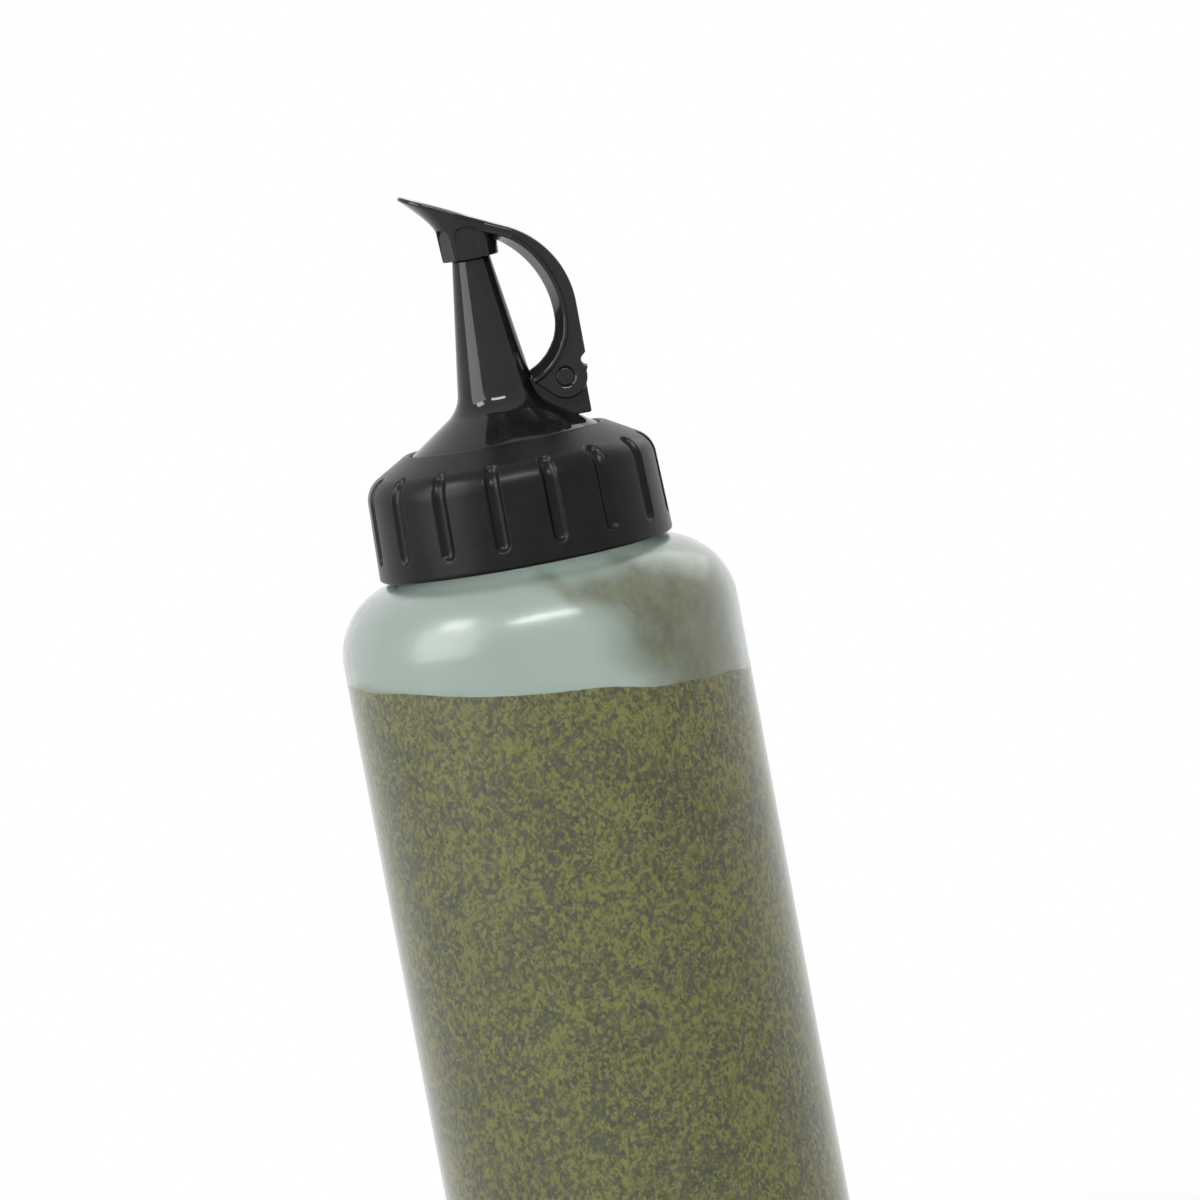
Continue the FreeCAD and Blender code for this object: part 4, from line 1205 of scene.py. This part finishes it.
        rib = self.rib()
        levels = rib[::-1, 0][None, :]
        levels = end_away + levels * np.clip(1 - end_away / levels.max(), 0, 1)
        middle, radius = self.low_bow()
        toward = np.sum(ray * (pin - middle), axis=1, keepdims=True)
        inside = toward ** 2 - np.sum((pin - middle) ** 2) + (radius + levels) ** 2
        by_level = -toward - np.sqrt(np.maximum(inside, 0))
        start = self.hole_radius + self.hole_edge
        plain = np.linspace(0, 1, 12)[None, :]
        evenly = start + (length - start) * np.linspace(self.even_share, 1, levels.shape[1])[None, :]
        weight = eased(end_away / (self.blend_share * self.web_start))
        outer = by_level * (1 - weight) + evenly * weight
        reach = np.concatenate([start + (outer[:, :1] - start) * plain[:, :-1], outer], axis=1)
        place = pin + ray[:, None] * reach[..., None]
        away = np.maximum(self.from_window(place), 0)
        half = self.nosed(away, np.interp(away, rib[:, 0], rib[:, 1]), self.slot_half + self.lap)
        half = half - edge_drop(length - reach, rounding[:, None])
        at_roof = (outline[:, 1] > self.slot_roof - 1e-6)[:, None]
        half = half - np.where(at_roof, edge_drop(self.back - place[..., 0], self.edge_round), 0)
        half = np.maximum(half, self.slot_half + self.thinnest)

        rows = len(outline)
        hole = np.full((rows, 1), self.hole_radius)
        reach = np.concatenate([hole, hole, reach, length], axis=1)
        slot = np.full((rows, 1), self.slot_half)
        sink = np.full((rows, 1), self.arm_half - self.hole_sink)
        half = np.concatenate([slot, sink, half, slot], axis=1)
        flat = pin + ray[:, None] * reach[..., None]
        points = np.stack([flat[..., 0], side * half, flat[..., 1]], axis=-1)
        return grid_skin(points, close_rows=True).facing_out()

    def brim(self, angles: np.ndarray) -> np.ndarray:
        """Return the pad's outline seen from above, as a radius at each angle round the cup's axis.

        Where it would lie inside the cup's top, half of x + sqrt(x^2 + small^2) eases it out.
        """
        tip, tail = (share * self.pad_half for share in (self.pad_tip_share, self.pad_tail_share))
        corners = [(-self.pad_tip, -self.pad_half, tip), (self.pad_tail, -self.pad_half, tail),
                   (self.pad_tail, self.pad_half, tail), (-self.pad_tip, self.pad_half, tip)]
        tilted = np.array([math.cos(math.radians(self.pad_angle)), 1.0])
        pad = rounded_line(corners, True, 0.1, 0.1) * tilted
        pad_angles = np.arctan2(pad[:, 1], pad[:, 0])
        order = np.argsort(pad_angles)
        brim = np.interp(angles, pad_angles[order], np.hypot(*pad.T)[order], period=2 * np.pi)
        gap = brim - self.cup_top_radius
        eased_gap = (gap + np.sqrt(gap ** 2 + 2 * self.pad_ease)) / 2
        return self.cup_top_radius + eased_gap - self.pad_ease

    def pad_ring(self, angles: np.ndarray, inset: float, depth: float) -> np.ndarray:
        """Return the pad's outline drawn in by an inset and lowered by a depth."""
        lean = math.radians(self.pad_angle)
        brim = self.brim(angles)
        level = ring_at(angles, brim - inset, 0.0)
        level[:, 2] = self.pad_top - level[:, 0] * self.slope() - depth * math.cos(lean)
        level[:, 0] -= depth * eased(brim - self.cup_top_radius) * math.sin(lean)
        return level

    def recess_rings(self, angles: np.ndarray) -> np.ndarray:
        """Return the rings of the recess, out across its roof and down to the cup's foot."""
        edge, roof = self.recess_radius, self.recess_top
        places = [(edge / 3, roof), (edge * 2 / 3, roof), (edge - self.recess_steps[0], roof)]
        places += [(edge, roof - step) for step in self.recess_steps]
        places += [(edge, self.cup_foot + self.recess_mouth)]
        places += [(edge + self.recess_mouth, self.cup_foot)]
        return np.stack([ring_at(angles, *place) for place in places])

    def outer_rings(self, angles: np.ndarray) -> np.ndarray:
        """Return the rings of the cup's rounded foot, its wall and its flare.

        The flare is a quadratic curve from the wall's top, drawn towards a point above it, to the
        pad's rim. It is the longer the further the rim overhangs the wall.
        """
        edge, foot = self.cup_radius - self.cup_round, self.cup_foot + self.cup_round
        turn = np.linspace(0, np.pi / 2, 6)
        rings = [ring_at(angles, edge + self.cup_round * math.sin(step),
                         foot - self.cup_round * math.cos(step)) for step in turn]
        rim = self.pad_ring(angles, self.rim_inset, self.pad_edge)
        over = self.brim(angles) - self.cup_top_radius
        drop = self.flare_drop + self.flare_gain * over
        rise = rim[:, 2] - drop - foot
        taper = (self.cup_top_radius - self.cup_radius) / self.cup_height
        rings += [ring_at(angles, self.cup_radius + rise * share * taper, foot + rise * share)
                  for share in np.linspace(0, 1, 58)[1:]]
        wall = rings[-1]
        bend = wall.copy()
        bend[:, 2] += self.flare_lift_share * drop
        bend[:, :2] *= (1 + self.flare_lean_share * over)[:, None]
        rings += [(1 - step) ** 2 * wall + 2 * step * (1 - step) * bend + step ** 2 * rim
                  for step in np.linspace(0, 1, 36)[1:]]
        return np.stack(rings)

    def flattened(self, rings: np.ndarray) -> np.ndarray:
        """Return rings with every point under a flat's arch drawn back to the flat's plane."""
        for angle in np.radians(self.flat_angles):
            out = np.array([math.cos(angle), math.sin(angle)])
            ahead = rings[..., :2] @ out
            aside = np.abs(rings[..., :2] @ np.array([-out[1], out[0]]))
            bow = np.clip(aside - (self.flat_half - self.flat_round), 0, self.flat_round)
            arch = self.flat_top - self.flat_round + np.sqrt(self.flat_round ** 2 - bow ** 2)
            inside = np.minimum(self.flat_half - aside, arch - rings[..., 2])
            cut = eased(inside / self.flat_fade) * np.maximum(ahead - self.flat_away, 0) * (ahead > 0)
            rings[..., :2] -= cut[..., None] * out
        return rings

    def dished(self, points: np.ndarray) -> np.ndarray:
        """Return points of the pad's plane pressed down into the dish, a shallow ball."""
        lean = math.radians(self.pad_angle)
        along = points[..., 0] / math.cos(lean) + self.dish_forward
        away = np.minimum(along ** 2 + points[..., 1] ** 2, self.dish_radius ** 2)
        depth = self.dish_depth - self.dish_radius + np.sqrt(self.dish_radius ** 2 - away)
        depth = (depth + np.sqrt(depth ** 2 + self.dish_edge ** 2)) / 2
        return points - depth[..., None] * np.array([math.sin(lean), 0.0, math.cos(lean)])

    def pad_rings(self, angles: np.ndarray) -> np.ndarray:
        """Return the rings over the pad's edge and across its dished top."""
        edges = [self.pad_ring(angles, inset, depth) for inset, depth in self.pad_edge_steps]
        radius = self.brim(angles) - self.pad_edge_steps[-1][0]
        shares = np.linspace(1, 0, 30)[1:-1]
        top = np.stack([ring_at(angles, radius * share, 0.0) for share in shares])
        top[..., 2] = self.pad_top - top[..., 0] * self.slope()
        return np.concatenate([np.stack(edges), self.dished(top)])

    def cup(self) -> Skin:
        """Join the rings of the recess, the cup's outside and the thumb pad into one skin."""
        angles = even_angles(288)
        rings = np.concatenate([self.recess_rings(angles), self.flattened(self.outer_rings(angles)),
                                self.pad_rings(angles)])
        middle = self.dished(np.array([[0.0, 0.0, self.pad_top]]))[0, 2]
        return poled_skin(rings, self.recess_top, middle).facing_out()

    def build(self, finish: bpy.types.Material, seal: bpy.types.Material) -> None:
        """Make the lever and dress the disc in its cup."""
        skin = self.cup().joined(self.arm()).joined(self.cheek(-1)).joined(self.cheek(1))
        make_piece("lever_arm", skin, finish, Body.LEVER, "flip_lever", 42.0)
        dress_node("tip_seal", seal)


@dataclass
class Lamp:
    """One soft lamp: where it stands, its face and its power.

    Rays through the hazy wall don't see it, because they would leave specks there.
    """

    name: str
    place: Place
    width: float
    height: float
    power: float

    def build(self, aim: Vector) -> None:
        """Make the lamp and point it at the aim."""
        data = bpy.data.lights.new(self.name, "AREA")
        data.shape = "RECTANGLE"
        data.size, data.size_y, data.energy = self.width, self.height, self.power
        lamp = bpy.data.objects.new(self.name, data)
        bpy.context.scene.collection.objects.link(lamp)
        lamp.location = self.place
        lamp.visible_transmission = False
        lamp.rotation_euler = (aim - Vector(self.place)).to_track_quat("-Z", "Y").to_euler()


@dataclass
class Studio:
    """Pale floor, soft light, white surround and the camera."""

    lens: float = 172.3
    sensor: float = 36.0
    eye: Place = (0.01114, -1.0, 0.235)
    aim: Place = (0.01114, 0.0, 0.1439)
    roll: float = 10.6
    ambient: float = 0.3
    floor_half: float = 4.0
    floor_drop: float = 0.0002
    floor_tint: Colour = (0.86, 0.86, 0.85)
    fade_start: float = 0.06
    fade_end: float = 0.16
    lamp_aim: Place = (0.0, 0.0, 0.16)

    def backdrop_rays(self, tree: bpy.types.NodeTree) -> bpy.types.NodeSocket:
        """Return one for rays that look at the surround: from the camera, a gloss or a clear wall."""
        rays = tree.nodes.new("ShaderNodeLightPath")
        picked = rays.outputs["Is Camera Ray"]
        for name in ("Is Glossy Ray", "Is Transmission Ray"):
            picked = add_node(tree, "ShaderNodeMath", "Value",
                              sources={0: picked, 1: rays.outputs[name]}, operation="MAXIMUM")
        return picked

    def surround(self) -> None:
        """Make the world: white to look at, and an even soft light on the object."""
        world = bpy.data.worlds.new("Surround")
        bpy.context.scene.world = world
        world.use_nodes = True
        tree = world.node_tree
        background = tree.nodes["Background"]
        background.inputs["Color"].default_value = (1.0, 1.0, 1.0, 1.0)
        level = add_node(tree, "ShaderNodeMapRange", "Result",
                         {"To Min": self.ambient, "To Max": 1.0}, {"Value": self.backdrop_rays(tree)})
        tree.links.new(level, background.inputs["Strength"])

    def floor(self) -> None:
        """Make the floor: pale with the object's shadow, and white to look at further out."""
        half, low = self.floor_half, -self.floor_drop
        corners = [(-half, -half, low), (half, -half, low), (half, half, low), (-half, half, low)]
        mesh = bpy.data.meshes.new("floor")
        mesh.from_pydata(corners, [], [(0, 1, 2, 3)])
        floor = bpy.data.objects.new("floor", mesh)
        bpy.context.scene.collection.objects.link(floor)
        material = bpy.data.materials.new("pale_floor")
        material.use_nodes = True
        tree = material.node_tree
        shader = tree.nodes["Principled BSDF"]
        shader.inputs["Base Color"].default_value = (*self.floor_tint, 1.0)
        shader.inputs["Roughness"].default_value = 0.9
        shader.inputs["Specular IOR Level"].default_value = 0.1
        place = add_node(tree, "ShaderNodeTexCoord", "Object")
        length = add_node(tree, "ShaderNodeVectorMath", "Value", sources={0: place},
                          operation="LENGTH")
        far = add_node(tree, "ShaderNodeMapRange", "Result",
                       {"From Min": self.fade_start, "From Max": self.fade_end}, {"Value": length},
                       interpolation_type="SMOOTHSTEP")
        share = add_node(tree, "ShaderNodeMath", "Value",
                         sources={0: far, 1: self.backdrop_rays(tree)}, operation="MULTIPLY")
        glow = add_node(tree, "ShaderNodeEmission", "Emission")
        mix = add_node(tree, "ShaderNodeMixShader", "Shader",
                       sources={"Fac": share, 1: shader.outputs["BSDF"], 2: glow})
        tree.links.new(mix, tree.nodes["Material Output"].inputs["Surface"])
        mesh.materials.append(material)

    def camera(self) -> None:
        """Make the camera at the photograph's angle, rolled as the bottle leans there."""
        data = bpy.data.cameras.new("camera")
        data.lens, data.sensor_width = self.lens, self.sensor
        camera = bpy.data.objects.new("camera", data)
        bpy.context.scene.collection.objects.link(camera)
        bpy.context.scene.camera = camera
        eye, aim, roll = Vector(self.eye), Vector(self.aim), math.radians(self.roll)
        back = (eye - aim).normalized()
        side = Vector((1.0, 0.0, 0.0))
        up = back.cross(side)
        right = math.cos(roll) * side - math.sin(roll) * up
        top = math.sin(roll) * side + math.cos(roll) * up
        camera.matrix_world = Matrix((
            (right.x, top.x, back.x, eye.x),
            (right.y, top.y, back.y, eye.y),
            (right.z, top.z, back.z, eye.z),
            (0.0, 0.0, 0.0, 1.0),
        ))

    def build(self) -> None:
        """Make the whole studio."""
        bpy.context.scene.view_settings.view_transform = "Standard"
        self.surround()
        self.floor()
        self.camera()
        for lamp in (
            Lamp("key_softbox", (-0.78, -0.47, 0.50), 0.70, 0.70, 7.4),
            Lamp("left_strip", (-0.61, -0.35, 0.87), 0.30, 0.20, 2.8),
            Lamp("top_strip", (0.06, -0.72, 0.83), 0.60, 0.12, 5.6),
            Lamp("back_fill", (0.6, 0.6, 0.7), 0.6, 0.6, 1.2),
        ):
            lamp.build(Vector(self.lamp_aim))


def main() -> None:
    """Build the bottle, its sauce, its cap and the studio, in order."""
    logging.basicConfig(level=logging.INFO, format="%(message)s")
    milky = MilkyWall("milky_wall", (0.57, 0.645, 0.605), 0.965, 0.13, 0.18, 1.25).make()
    sauce = HerbSauce("herb_sauce", (0.040, 0.038, 0.003), (0.115, 0.099, 0.006),
                      (0.300, 0.254, 0.018), 1.0).make()
    film = HerbSauce("sauce_smear", (0.236, 0.176, 0.038), (0.312, 0.236, 0.060),
                     (0.388, 0.295, 0.086), 2.2, is_film=True).make()
    collar_black = MouldedBlack("satin_black", (0.003, 0.003, 0.003), (0.006, 0.006, 0.006),
                                0.26, 0.36, 0.22, 0.008, 0.17).make()
    cap_black, lever_black = (
        MouldedBlack(name, (0.007, 0.007, 0.007), (0.011, 0.011, 0.011),
                     0.06, 0.11, 0.35, 0.0006).make() for name in ("gloss_black", "lever_black"))
    seal = SoftSeal("pale_seal", (0.66, 0.65, 0.60), (0.74, 0.73, 0.69)).make()

    bottle = SqueezeBody()
    bottle.build(milky)
    SauceFill(bottle).build(sauce, film)
    ScrewCollar().build(collar_black, bottle)
    NozzleCone().build(cap_black, seal)
    FlipLever().build(lever_black, seal)
    Studio().build()


if __name__ == "__main__":
    main()
